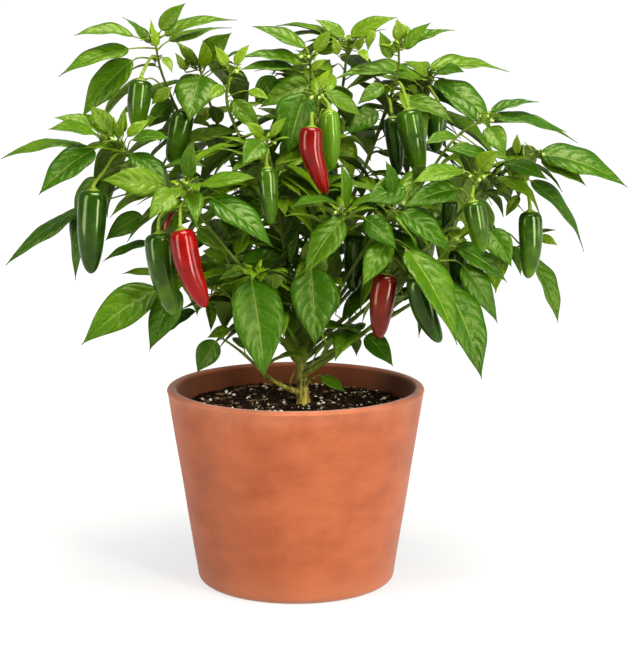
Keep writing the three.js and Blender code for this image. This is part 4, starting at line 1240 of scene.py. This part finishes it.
petal = Finish("bud_skin")
veil = petal.noise(petal.place(), 500.0)
BUD = petal.surface({
    "Base Color": petal.mix(veil, (0.17, 0.26, 0.03), (0.30, 0.40, 0.09)),
    "Roughness": 0.45 + veil * 0.1,
})
print("materials so far:", len(bpy.data.materials))

# %% [markdown]
# ## Finishes of the fruits
# A ripe chilli is as glossy as lacquer over a slightly uneven colour, so the finish has a
# coat over a softer base. Unripe fruits are dark green with a paler flush, each a little
# different, and a number stored on the fruit says how much. The number is partly painted
# light and shade: it is low for a fruit that hangs in the shadow of the leaves, which is
# painted shade, and it grows toward the tip of a green fruit, a painted glow of light
# shining through it. It falls toward the tip of a red one, whose flush is dark. The
# turning one is brown-red.


# %% Fruit finishes
def fruit_finish(name, low, high, flush, flush_share, gleam):
    skin = Finish(name)
    cloud = skin.noise(skin.place(), 55.0, 3.0, 0.55)
    speck = skin.noise(skin.place(), 900.0, 2.0)
    body = skin.mix(skin.step(cloud, 0.25, 0.75), low, high)
    # The stored number is partly the fruit's own flush and partly painted light and shade.
    body = skin.mix(skin.step(skin.given("flush_light_and_shade") + (cloud - 0.5) * 0.6, 0.3, 1.0) * flush_share, body, flush)
    return skin.surface({
        "Base Color": body,
        "Roughness": 0.13 + cloud * 0.10,
        "Specular IOR Level": 0.27,
        "Specular Tint": gleam,
        "Coat Weight": 0.14 + speck * 0.05,
        "Coat Roughness": 0.05,
    }, cloud + speck * 0.12, 0.0006, 0.5)


# Dark, light, flush, how strong the flush is, and the colour of the gleam.
FRUIT_FINISHES = {
    "green": fruit_finish(
        "green_fruit", (0.003, 0.013, 0.0003), (0.011, 0.041, 0.0006),
        (0.060, 0.136, 0.002), 0.8, (0.75, 1.0, 0.32),
    ),
    "red": fruit_finish(
        "red_fruit", (0.075, 0.001, 0.001), (0.175, 0.001, 0.001),
        (0.028, 0.001, 0.001), 0.65, (1.0, 0.42, 0.34),
    ),
    "brown": fruit_finish(
        "turning_fruit", (0.026, 0.002, 0.001), (0.088, 0.003, 0.001),
        (0.012, 0.006, 0.001), 0.75, (1.0, 0.50, 0.30),
    ),
}
SLOTS = {"green": "fruit_green", "red": "fruit_red", "brown": "fruit_turning"}

# %% [markdown]
# ## The leafy stems
# One piece for each branch: its stem, its leaf stalks, the stalks and calyxes of its
# fruits, its tuft, and then the blades. The stem swells a little at each joint. A calyx
# is a ball pressed into a saucer: its upper half becomes the outside, its lower half
# hugs the fruit's shoulder, and its rim is drawn out into five points.

# %% The outline of a fruit
SHOULDER = 0.22
SHOULDER_BEND = 2.4
SHOULDER_ROUND = 3.0
TAPER_BEND = 2.3
TAPER_ROUND = 0.6
FRUIT_SWING = 3.0


def fruit_share(s):
    """The fruit's radius at s, from calyx to tip, as a share of the greatest."""
    if s < SHOULDER:
        return (1 - (1 - s / SHOULDER) ** SHOULDER_BEND) ** (1 / SHOULDER_ROUND)
    return max(0.0, 1 - ((s - SHOULDER) / (1 - SHOULDER)) ** TAPER_BEND) ** TAPER_ROUND


def shoulder_depth(share):
    """How far down from its top the fruit reaches a given share of its radius."""
    return SHOULDER * (1 - (1 - min(share, 0.98) ** SHOULDER_ROUND) ** (1 / SHOULDER_BEND))


def fruit_line(fruit):
    """The fruit's middle line. Its lower end swings forward a little, as it hangs outward."""
    line = drawn(fruit["points"], 0, len(fruit["points"]) - 1, 24)
    return [add(p, (0, -FRUIT_SWING, 0), (i / (len(line) - 1)) ** 2) for i, p in enumerate(line)]


# %% The calyx and the fruit's stalk
CALYX_POINTS = 5
CALYX_POINT_SHARE = 0.17
CALYX_SIDES = 40
CALYX_RINGS = 12
CALYX_RIM, CALYX_DOME = 0.55, 2.4  # thickness at the rim, and how much more in the middle
CALYX_SUNK = 0.5


def calyx(bm, fruit):
    """A ball pressed into a five-pointed cap on the fruit's shoulder."""
    line = fruit_line(fruit)
    length = sum(span(sub(b, a)) for a, b in zip(line, line[1:]))
    rim = CALYX_RADIUS * (0.86 + fruit["width"] / 150)
    frame_at = sections(line, [1] * len(line))[0]
    ball = bmesh.ops.create_uvsphere(bm, u_segments=CALYX_SIDES, v_segments=CALYX_RINGS, radius=1)
    first = any_turn()
    for vert in ball["verts"]:
        x, y, z = vert.co
        around = math.hypot(x, y)
        angle = math.atan2(y, x)
        tooth = 1 + CALYX_POINT_SHARE * around ** 3 * math.cos(CALYX_POINTS * angle + first)
        radius = rim * around * tooth
        depth = shoulder_depth(radius / (fruit["width"] / 2)) * length
        wall = CALYX_RIM + CALYX_DOME * (1 - around) ** 1.3 if z > 0 else -CALYX_SUNK
        down = depth - wall * abs(z) ** 0.6
        vert.co = frame_at @ Vector((radius * math.cos(angle), radius * math.sin(angle), down))
    dress(ball, 1)


FRUIT_STALK_AT = [0, 0.4, 0.7, 0.85, 0.95, 1]
FRUIT_STALK_RADII = [1.4, 1.45, 1.7, 2.1, 2.8, 3.6]


def fruit_stalk(bm, fruit):
    top = fruit["points"][0]
    axis = unit(sub(fruit["points"][1], top))
    bend = add(toward(fruit["root"], fruit["start"], 0.55), (0, 0, 4))
    knots = [fruit["root"], bend, fruit["start"], add(top, axis, -5), add(top, axis, -0.6)]
    path = drawn(knots, 0, len(knots) - 1, 5)
    radii = np.interp(np.linspace(0, 1, len(path)), FRUIT_STALK_AT, FRUIT_STALK_RADII)
    push(bm, path, radii, 9, 1)


# %% Build one leafy stem
STEM_RADIUS = 2.1
STEM_TIP_RADIUS = 0.85
SHOOT_RADIUS = 1.8
JOINT_SWELL = 0.2
JOINT_SPREAD = 4.0


def stem_path(name):
    plan = stems[name]
    last = len(plan["points"]) - 1
    path = drawn(plan["points"], plan["wood"], last, 12 if last > 1 else 4)
    roots = [leaf["root"] for leaf in leaves if leaf["stem"] == name]
    thick = STEM_RADIUS if plan["wood"] else SHOOT_RADIUS
    radii = []
    for i, p in enumerate(path):
        gap = min(span(sub(p, root)) for root in roots)
        slim = thick + (STEM_TIP_RADIUS - thick) * i / (len(path) - 1)
        radii.append(slim * (1 + JOINT_SWELL * math.exp(-((gap / JOINT_SPREAD) ** 2))))
    return path, radii


# Painted light and shade on the leaves: a leaf read one by one is painted lighter the higher it grows, as if
# lit from above, and darker low down, where the crown shades it. The other leaves, which fill the crown, are
# painted lighter, a painted light for what bounces inside it.
TONE_HEIGHTS = (300, 540)
HAND_TONES = (-0.10, 0.46)
INNER_TONES = (0.72, 0.78)
TONE_SPREAD = 0.30
UPPER_LEFT = 0.30  # how much lighter the green is of the leaves that stand free at the upper left
FREE_ACROSS = (-190, -90)
FREE_UP = (350, 430)
LARGE_FROM = 24
YOUNG_LENGTH = 34
STALK_YOUTH = 0.75
TIP_BUDS = 3
BARE_ENDED = ("low_shoot", "rim_left")


def usual_tone(leaf):
    """How light the green of such a leaf is painted on average, from 0 to 1: higher for a leaf high up and
    for the leaves that fill the crown, which is painted light, and lower for a leaf low down, which is
    painted shade.
    """
    across_it, _, up = leaf["tip"]
    free = np.interp(across_it, FREE_ACROSS, (1, 0)) * np.interp(up, FREE_UP, (0, 1))
    return np.interp(up, TONE_HEIGHTS, HAND_TONES if leaf.get("by_hand") else INNER_TONES) + UPPER_LEFT * free


def blade_of(one):
    return SMALL_BLADE if one.get("small") or one["length"] < LARGE_FROM else LARGE_BLADE


def leafy(name):
    small = [] if name in BARE_ENDED else tuft(name)
    own = [leaf for leaf in leaves if leaf["stem"] == name] + small
    bm = bmesh.new()
    bm.loops.layers.uv.new("blade")
    path, radii = stem_path(name)
    push(bm, path, radii, 10, 1)
    stalks = len(bm.verts)
    for one in own:
        large = blade_of(one) is LARGE_BLADE
        push(bm, *leaf_stalk(one, 1.0 if large else 0.6), 7 if large else 5, 1)
    for fruit in fruits:
        if fruit["stem"] == name:
            fruit_stalk(bm, fruit)
            calyx(bm, fruit)
    if small:
        end = stems[name]["green"][-1]
        for n in range(TIP_BUDS):
            turn = any_turn()
            way = unit((math.cos(turn), math.sin(turn), fate.uniform(0.2, 1.2)))
            flower_bud(bm, end, way, fate.uniform(6, 10), fate.uniform(1.2, 1.9))
    bmesh.ops.recalc_face_normals(bm, faces=bm.faces[:])
    start = len(bm.verts)
    for one in own:
        bm.from_mesh(blade_of(one)["mesh"])
    made = piece("leaves_" + name, bm, [LEAF, STEM, BUD], "foliage", ["leafy_" + name])
    mesh = made.data
    places = np.zeros(3 * len(mesh.vertices))
    mesh.vertices.foreach_get("co", places)
    places = places.reshape(-1, 3)
    marks = {key: np.zeros(len(places)) for key in ("tone", "youth", "under", "size")}
    marks["youth"][stalks:start] = STALK_YOUTH
    for one in own:
        pattern = blade_of(one)
        rows = slice(start, start + len(pattern["along"]))
        start = rows.stop
        places[rows] = bent(one, pattern) * MM
        marks["tone"][rows] = np.clip(fate.normal(usual_tone(one), TONE_SPREAD), 0, 1)
        marks["size"][rows] = grown(one)
        marks["youth"][rows] = STALK_YOUTH * np.clip((YOUNG_LENGTH - one["length"]) / 24, 0, 1)
        marks["under"][rows] = pattern["below"]
    mesh.vertices.foreach_set("co", places.ravel())
    for key, numbers in marks.items():
        mesh.attributes.new(key, "FLOAT", "POINT").data.foreach_set("value", numbers)
    mesh.update()
    return made


green_pieces = [leafy(name) for name in STEMS]
print("leafy stems:", len(green_pieces), "faces:", sum(len(p.data.polygons) for p in green_pieces))

# %% [markdown]
# ## The fruits
# A ball is moulded into a chilli. Its rows become sections along the fruit's bent axis,
# close together at both ends where the form is round. Three shallow lobes at the shoulder
# and a slow unevenness keep the long highlights from being ruled straight.

# %% Mould the fruits
FRUIT_SIDES = 40
FRUIT_ROWS = 34
LOBE = 0.03
UNEVEN = 0.035
TIP_FLUSH_AND_GLOW = 0.4
# The flush of each kind of green fruit: a deep fruit is partly painted shade, where it hangs behind the
# leaves, and the light one partly painted light.
FLUSH_LIGHT_AND_SHADE = {"light": 1.1, "green": 0.45, "deep": 0.1}


def chilli(number, fruit):
    bm = bmesh.new()
    bmesh.ops.create_uvsphere(bm, u_segments=FRUIT_SIDES, v_segments=FRUIT_ROWS, radius=1)
    line = fruit_line(fruit)
    rows = [0.5 - 0.5 * math.cos(math.pi * j / FRUIT_ROWS) for j in range(FRUIT_ROWS + 1)]
    centres = [between_line(line, s) for s in rows]
    frames = sections(centres, [1] * len(centres))
    lobes = any_turn()
    drift = fate.uniform(0, 50)
    down = []
    for vert in bm.verts:
        x, y, z = vert.co
        angle = math.atan2(y, x)
        row = round(math.acos(max(-1, min(1, z))) / math.pi * FRUIT_ROWS)
        s = rows[row]
        down.append(s)
        radius = fruit["width"] / 2 * fruit_share(s)
        radius *= 1 + LOBE * math.cos(3 * angle + lobes) * (1 - s)
        radius *= 1 + UNEVEN * noise.noise(Vector((math.cos(angle), math.sin(angle), 3 * s + drift)))
        vert.co = frames[row] @ Vector((radius * math.cos(angle), radius * math.sin(angle), 0))
    bmesh.ops.recalc_face_normals(bm, faces=bm.faces[:])
    colour = fruit["colour"] if fruit["colour"] in FRUIT_FINISHES else "green"
    made = piece("chilli_%02d" % number, bm, [FRUIT_FINISHES[colour]], SLOTS[colour], ["fruit_%02d" % number])
    flush_light_and_shade = FLUSH_LIGHT_AND_SHADE.get(fruit["colour"], fate.uniform(0.1, 0.7))
    # A green fruit is painted paler toward its tip, a painted glow of light shining through it; on a red or
    # turning fruit the dark flush thins toward the tip instead.
    toward_tip = TIP_FLUSH_AND_GLOW if SLOTS[colour] == "fruit_green" else -TIP_FLUSH_AND_GLOW
    shades = [flush_light_and_shade + toward_tip * s ** 3 for s in down]
    made.data.attributes.new("flush_light_and_shade", "FLOAT", "POINT").data.foreach_set("value", shades)
    return made


def between_line(line, s):
    at = s * (len(line) - 1)
    first = min(int(at), len(line) - 2)
    return toward(line[first], line[first + 1], at - first)


hung = [chilli(number, fruit) for number, fruit in enumerate(fruits, 1)]
print("fruits:", len(hung), "faces:", sum(len(p.data.polygons) for p in hung))

# %% [markdown]
# ## The trunk and its limbs
# Low down the plant is woody: a short stout trunk that splits again and again. Each limb
# is pushed along its path on its own, and a voxel remesh then melts trunk and limbs into
# one skin with rounded crotches, which no amount of joining edges would give. A few
# passes of smoothing take away the steps that the voxels leave, and noise drawn out along
# the height furrows the bark. Thin dry twigs stand on the limbs, and only reach into them.

# %% Trunk
VOXEL = 0.0012
TRUNK_LINE = [
    ((8, 0, 136), 7.6), ((8, 0, 166), 8.2), ((8, 0, 174), 8.2), ((7.8, 0, 181), 7.1), ((6.9, 0, 190), 6.2),
    ((5.8, 0, 206), 5.7), ((5, 0, 222), 5.2), ((4.4, 0, 240), 4.5), ((4, 0, 258), 3.6),
]
LIMB_RADIUS = 3.5
SHOOT_FOOT, SHOOT_FOOT_RADIUS = (7, 0, 196), 4.0
SMOOTHING = 3
KNOBS, FURROWS = (260, 0.00035), (700, 90, 0.0002)  # how close together, and metres high


def finished(holder, *others):
    """The mesh of an object after its modifiers, as a bmesh. The objects are removed."""
    made = bmesh.new()
    made.from_mesh(holder.evaluated_get(bpy.context.evaluated_depsgraph_get()).to_mesh())
    for one in (holder, *others):
        mesh = one.data
        bpy.data.objects.remove(one)
        bpy.data.meshes.remove(mesh)
    return made


def remeshed(bm, size):
    holder = stand("melting", bm)
    melt = holder.modifiers.new("melt", "REMESH")
    melt.mode = "VOXEL"
    melt.voxel_size = size
    return finished(holder)


wood = bmesh.new()
push(wood, [p for p, r in TRUNK_LINE], [r for p, r in TRUNK_LINE], 16)
for name, plan in stems.items():
    if plan["wood"]:
        path = drawn(plan["points"], 0, 1, 8)
        path[-1] = add(path[-1], unit(sub(path[-1], path[-2])), 1.0)
        push(wood, path, np.linspace(LIMB_RADIUS, STEM_RADIUS * 1.04, len(path)), 10)
push(wood, [SHOOT_FOOT, stems["low_shoot"]["points"][0]], [SHOOT_FOOT_RADIUS, STEM_RADIUS], 10)
bmesh.ops.recalc_face_normals(wood, faces=wood.faces[:])
wood = remeshed(wood, VOXEL)
for turn in range(SMOOTHING):
    bmesh.ops.smooth_vert(
        wood, verts=wood.verts[:], factor=0.5, use_axis_x=True, use_axis_y=True, use_axis_z=True,
    )
for vert in wood.verts:
    knob = noise.noise(vert.co * KNOBS[0]) * KNOBS[1]
    furrow = noise.noise(Vector((vert.co.x * FURROWS[0], vert.co.y * FURROWS[0], vert.co.z * FURROWS[1])))
    vert.co += vert.normal * (knob + furrow * FURROWS[2])


# %% Twigs
TWIGS = 3
TWIG_LENGTH = (9, 30)
TWIG_RADII = [0.9, 0.7, 0.6, 0.45]
for plan in stems.values():
    for turn in range(TWIGS if plan["wood"] else 0):
        foot = np.array(drawn(plan["points"], 0, 1, 24)[int(fate.uniform(4, 24))])
        spin = any_turn()
        way = np.array([math.cos(spin), math.sin(spin), fate.uniform(0.3, 2.2)])
        way *= fate.uniform(*TWIG_LENGTH) / np.linalg.norm(way)
        bend = fate.uniform(-0.2, 0.2, 3) * np.linalg.norm(way)
        knees = [foot + way * 0.4 + bend * 0.5, foot + way * 0.75 + bend]
        push(wood, [foot, *knees, foot + way], TWIG_RADII, 5)
bmesh.ops.recalc_face_normals(wood, faces=wood.faces[:])
trunk = piece("woody_trunk", wood, [STEM], "wood", ["trunk"])
print("trunk faces:", len(trunk.data.polygons))

# %% [markdown]
# ## The pot
# A terracotta pot is turned, so half of its section is drawn as a line of points and spun
# round the axis. The foot and the lip are arcs. The three drain holes are cut through the
# floor afterwards.

# %% Pot measures
POT_HEIGHT = 196.6
POT_TOP_RADIUS = 128
POT_BASE_RADIUS = 97.5
POT_WALL = 9.5
POT_FLOOR = 12
POT_CORNER = 8
LIP_ROUND = 4.2
POT_STEPS = 160
UNEVEN_WALL = 0.0003  # metres in or out


def wall_radius(z):
    return POT_BASE_RADIUS + (POT_TOP_RADIUS - POT_BASE_RADIUS) * z / POT_HEIGHT


def arc(centre, size, first, last, steps):
    """Points on an arc in degrees. 0 points outward and 90 up."""
    turns = [math.radians(first + (last - first) * i / steps) for i in range(steps + 1)]
    return [(centre[0] + size[0] * math.cos(a), centre[1] + size[1] * math.sin(a)) for a in turns]


def spun(outline, steps):
    """A line of (radius, height) points spun round the upright axis and closed."""
    bm = bmesh.new()
    verts = [bm.verts.new((r * MM, 0, z * MM)) for r, z in outline]
    edges = [bm.edges.new(pair) for pair in zip(verts, verts[1:])]
    bmesh.ops.spin(
        bm, geom=verts + edges, cent=(0, 0, 0), axis=(0, 0, 1),
        angle=2 * math.pi, steps=steps, use_merge=True,
    )
    bmesh.ops.remove_doubles(bm, verts=bm.verts[:], dist=1e-6)
    bmesh.ops.recalc_face_normals(bm, faces=bm.faces[:])
    return bm


# %% Turn the pot
lip_z = POT_HEIGHT - LIP_ROUND
foot_r = wall_radius(POT_CORNER) - POT_CORNER
outline = [(0, 0), (30, 0), (60, 0)]
outline += arc((foot_r, POT_CORNER), (POT_CORNER, POT_CORNER), -90, -5, 8)
outline += [(wall_radius(z), z) for z in np.linspace(POT_CORNER + 4, lip_z, 26)]
outline += arc((wall_radius(POT_HEIGHT) - LIP_ROUND, lip_z), (LIP_ROUND, LIP_ROUND), 12, 90, 7)
outline += arc((wall_radius(POT_HEIGHT) - POT_WALL + 3.2, lip_z), (3.6, LIP_ROUND), 95, 176, 6)
outline += [(wall_radius(z) - POT_WALL, z) for z in np.linspace(lip_z - 3, POT_FLOOR, 12)]
outline += [(60, POT_FLOOR), (0, POT_FLOOR)]
pot_bm = spun(outline, POT_STEPS)
for vert in pot_bm.verts:
    outward = Vector((vert.co.x, vert.co.y, 0))
    if outward.length > 0.09:
        push_out = noise.noise(Vector((vert.co.x * 9, vert.co.y * 9, vert.co.z * 16))) * UNEVEN_WALL
        vert.co += outward.normalized() * push_out


# %% Cut the drain holes
DRAIN_RADIUS = 6
DRAIN_AT = 46
DRAIN_COUNT = 3

drills = bmesh.new()
for number in range(DRAIN_COUNT):
    turn = math.pi / 2 + 2 * math.pi * number / DRAIN_COUNT
    where_to = Matrix.Translation((DRAIN_AT * MM * math.cos(turn), DRAIN_AT * MM * math.sin(turn), 0))
    bmesh.ops.create_cone(
        drills, cap_ends=True, segments=40, radius1=DRAIN_RADIUS * MM, radius2=DRAIN_RADIUS * MM,
        depth=4 * POT_FLOOR * MM, matrix=where_to,
    )


def cut(bm, tool):
    holder, blank = stand("cutting", bm), stand("cutter", tool)
    knife = holder.modifiers.new("cut", "BOOLEAN")
    knife.operation = "DIFFERENCE"
    knife.solver = "EXACT"
    knife.object = blank
    return finished(holder, blank)


pot_bm = cut(pot_bm, drills)

# %% [markdown]
# Terracotta is a matte orange-pink with darker and paler clouds, a fine sandy grain, and
# faint rings from the turning. Lime from the soil blooms pale near the rim and the foot.
# Inside, the wall is darker up to the lip. The finish finds it by how far a point
# lies inside the slanting outer wall.

# %% Terracotta finish
CLAYS = (0.196, 0.0427, 0.0117), (0.279, 0.0716, 0.0236)
PALE_GRAIN, DARK_GRAIN = (0.35, 0.118, 0.052), (0.185, 0.041, 0.015)
LIME = (0.43, 0.19, 0.11)
DARKER_INSIDE = (0.084, 0.019, 0.001)
DARKER_FROM, DARKEST_FROM = 0.0055, 0.0085  # metres inside the outer wall
DARKER_BELOW, PLAIN_ABOVE = 0.1925, 0.1960  # metres above the ground

clay = Finish("terracotta")
clay_place = clay.place()
cloud = clay.noise(clay_place, 9.0, 4.0, 0.6)
patch = clay.noise(clay_place, 34.0, 4.0, 0.6)
sand = clay.noise(clay_place, 900.0, 2.0, 0.7)
turned = clay.noise(clay.stretched(0.04, 0.04, 1), 260.0, 3.0, 0.6)
smear = clay.noise(clay.stretched(0.25, 0.25, 1), 60.0, 4.0, 0.65)
clay_height = clay.node("SeparateXYZ", {}, {0: clay_place}, 2)
body = clay.mix(clay.step(cloud * 0.4 + patch * 0.25 + smear * 0.35, 0.33, 0.67), *CLAYS)
body = clay.mix(clay.step(sand, 0.60, 0.80) * 0.3, body, PALE_GRAIN)
body = clay.mix(clay.step(1 - sand, 0.62, 0.82) * 0.3, body, DARK_GRAIN)
wavering = clay_height + (patch - 0.5) * 0.05
bloom = clay.step(wavering, 0.168, 0.205) * 0.22 + (1 - clay.step(wavering, 0.0, 0.035)) * 0.16
body = clay.mix(bloom, body, LIME)
flat_place = clay.node("VectorMath", {"operation": "MULTIPLY"}, {0: clay_place, 1: (1, 1, 0)})
from_axis = clay.node("VectorMath", {"operation": "LENGTH"}, {0: flat_place}, "Value")
slant = (POT_TOP_RADIUS - POT_BASE_RADIUS) / POT_HEIGHT
depth_in = clay_height * slant + POT_BASE_RADIUS * MM - from_axis
# Inside the wall the clay turns darker, from just inside the outer face up to under the lip.
inside_dark = clay.step(depth_in + (patch - 0.5) * 0.003, DARKER_FROM, DARKEST_FROM)
inside_dark = inside_dark * (1 - clay.step(clay_height, DARKER_BELOW, PLAIN_ABOVE))
POT = clay.surface({
    "Base Color": clay.mix(inside_dark * 0.85, body, DARKER_INSIDE),
    "Roughness": 0.72 + sand * 0.16,
    "Specular IOR Level": 0.15,
    "Sheen Weight": 0.17,
    "Sheen Roughness": 0.5,
}, sand * 0.7 + turned * 0.5 + patch * 0.4, 0.0005, 0.45)
pot = piece("clay_pot", pot_bm, [POT], "pot", ["pot"])
pot.data.set_sharp_from_angle(angle=math.radians(42))
print("pot faces:", len(pot.data.polygons))

# %% [markdown]
# ## The soil
# Potting soil is dark crumbs, shreds of bark and white grains of perlite. Its bed is spun
# like the pot, with close rings on top that are then heaved up and down by noise. Crumbs,
# chips and grains are strewn over it: lumps of twenty faces and slivers of six, each
# turned and stretched its own way.

# %% Soil bed
SOIL_TOP = 176
SOIL_MOUND = 1.5
BED_STEP = 1.5
SEAT_GAP, WALL_GAP = 0.3, 0.5
soil_edge = wall_radius(SOIL_TOP) - POT_WALL - WALL_GAP
outline = [(0, POT_FLOOR + SEAT_GAP), (wall_radius(POT_FLOOR) - POT_WALL - WALL_GAP, POT_FLOOR + SEAT_GAP)]
outline += [(soil_edge, SOIL_TOP - 3)]
outline += [(r, SOIL_TOP) for r in np.arange(soil_edge, BED_STEP, -BED_STEP)] + [(0, SOIL_TOP)]
SOIL_HEAVES = [(0.045, 3.7, 2.2), (0.17, 8.1, 2.1), (0.45, 1.3, 0.9)]  # closeness, place in the noise, height


def bed_height(x, y):
    """The soil's surface in millimetres at a place in millimetres."""
    r = math.hypot(x, y) / soil_edge
    heaves = [noise.noise(Vector((x * close, y * close, at))) * high for close, at, high in SOIL_HEAVES]
    heaved = heaves[0] + (heaves[1] + heaves[2])
    return SOIL_TOP + SOIL_MOUND * (1 - 2 * r * r) + heaved * (1 - 0.4 * r ** 6)


bed = spun(outline, 200)
for vert in bed.verts:
    if vert.co.z > (SOIL_TOP - 1) * MM:
        vert.co.z = bed_height(vert.co.x / MM, vert.co.y / MM) * MM


# %% Soil finishes
earth = Finish("soil_crumb")
mould = earth.noise(earth.place(), 120.0, 5.0, 0.7)
fine = earth.noise(earth.place(), 900.0, 3.0, 0.7)
dark = earth.mix(earth.step(mould, 0.35, 0.7), (0.004, 0.002, 0.0008), (0.030, 0.016, 0.007))
# The pale flecks are painted glints, light catching the crumbs.
dark = earth.mix(earth.step(fine, 0.60, 0.72) * 0.7, dark, (0.16, 0.09, 0.035))
EARTH = earth.surface({
    "Base Color": dark,
    "Roughness": 0.85 + fine * 0.1,
    "Specular IOR Level": 0.1,
}, fine + mould, 0.0012, 0.9)


def grainy(finish, where, scale, low, high, colours, depth, strength):
    """A matte finish of two colours. Their grain is its relief as well."""
    grain = finish.noise(where, scale, 3.0, 0.7)
    return finish.surface({
        "Base Color": finish.mix(finish.step(grain, low, high), *colours),
        "Roughness": 0.8 + grain * 0.1,
    }, grain, depth, strength)


chip, white = Finish("bark_shred"), Finish("perlite")
BARK_BROWNS = (0.012, 0.006, 0.003), (0.38, 0.20, 0.08)
PERLITE_WHITES = (0.66, 0.60, 0.46), (0.95, 0.92, 0.82)
BARK = grainy(chip, chip.stretched(1, 1, 4), 300.0, 0.25, 0.75, BARK_BROWNS, 0.0006, 0.7)
PERLITE = grainy(white, white.place(), 1400.0, 0.35, 0.7, PERLITE_WHITES, 0.0005, 0.8)
soil = piece("soil_bed", bed, [EARTH], "soil", ["soil"])
print("soil bed faces:", len(soil.data.polygons))

# %% Strew crumbs, chips and grains
ROUGH_SEED = 3
noise.seed_set(ROUGH_SEED)  # without a seed, noise_vector starts from the clock


def strewn(name, count, make, finish, low, high, rough):
    """Scatters small shapes over the bed, clear of the trunk, and roughens their corners."""
    bm = bmesh.new()
    for number in range(count):
        far = soil_edge * math.sqrt(fate.uniform(0.007, 0.955))
        turn = fate.uniform(0, 6.2832)
        x, y = far * math.cos(turn), far * math.sin(turn)
        size = np.exp(fate.uniform(math.log(low), math.log(high)))
        tilt = Matrix.Rotation(any_turn(), 4, "Z") @ Matrix.Rotation(fate.normal(0, 0.6), 4, "X")
        spot = Matrix.Translation(Vector((x, y, bed_height(x, y) + 0.3 * size)) * MM)
        make(bm, spot @ tilt, size * MM)
    for vert in bm.verts:
        vert.co += noise.noise_vector(vert.co * 700) * rough * MM
    return piece(name, bm, [finish], "soil")


def lump(bm, where_to, size):
    shape = Matrix.Diagonal((size, size * fate.uniform(0.6, 0.95), size * fate.uniform(0.5, 0.85), 1))
    bmesh.ops.create_icosphere(bm, subdivisions=1, radius=1, matrix=where_to @ shape)


def sliver(bm, where_to, size):
    shape = Matrix.Diagonal((size, size * fate.uniform(0.15, 0.4), size * fate.uniform(0.08, 0.16), 1))
    bmesh.ops.create_cube(bm, size=2, matrix=where_to @ shape)


crumbs = strewn("soil_crumbs", 2000, lump, EARTH, 0.8, 2.9, 0.6)
chips = strewn("bark_shreds", 420, sliver, BARK, 1.2, 4.2, 0.6)
grains = strewn("perlite_grains", 290, lump, PERLITE, 0.8, 2.8, 0.35)
print("strewn faces:", sum(len(p.data.polygons) for p in (crumbs, chips, grains)))

# %% [markdown]
# ## Measure and finish
# The finer plant must not outgrow the plain solids, so the box of its pieces is printed,
# with the numbers of triangles.

# %% Write the sizes and finish
low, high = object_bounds()
print("pieces:", [round(v, 3) for corner in (low, high) for v in corner])
triangles = {
    o.name: sum(len(p.vertices) - 2 for p in o.data.polygons)
    for o in bpy.data.objects if o.type == "MESH" and o.users_collection and o.name != "floor"
}
print("largest piece:", max(triangles.values()), "all meshes:", sum(triangles.values()))
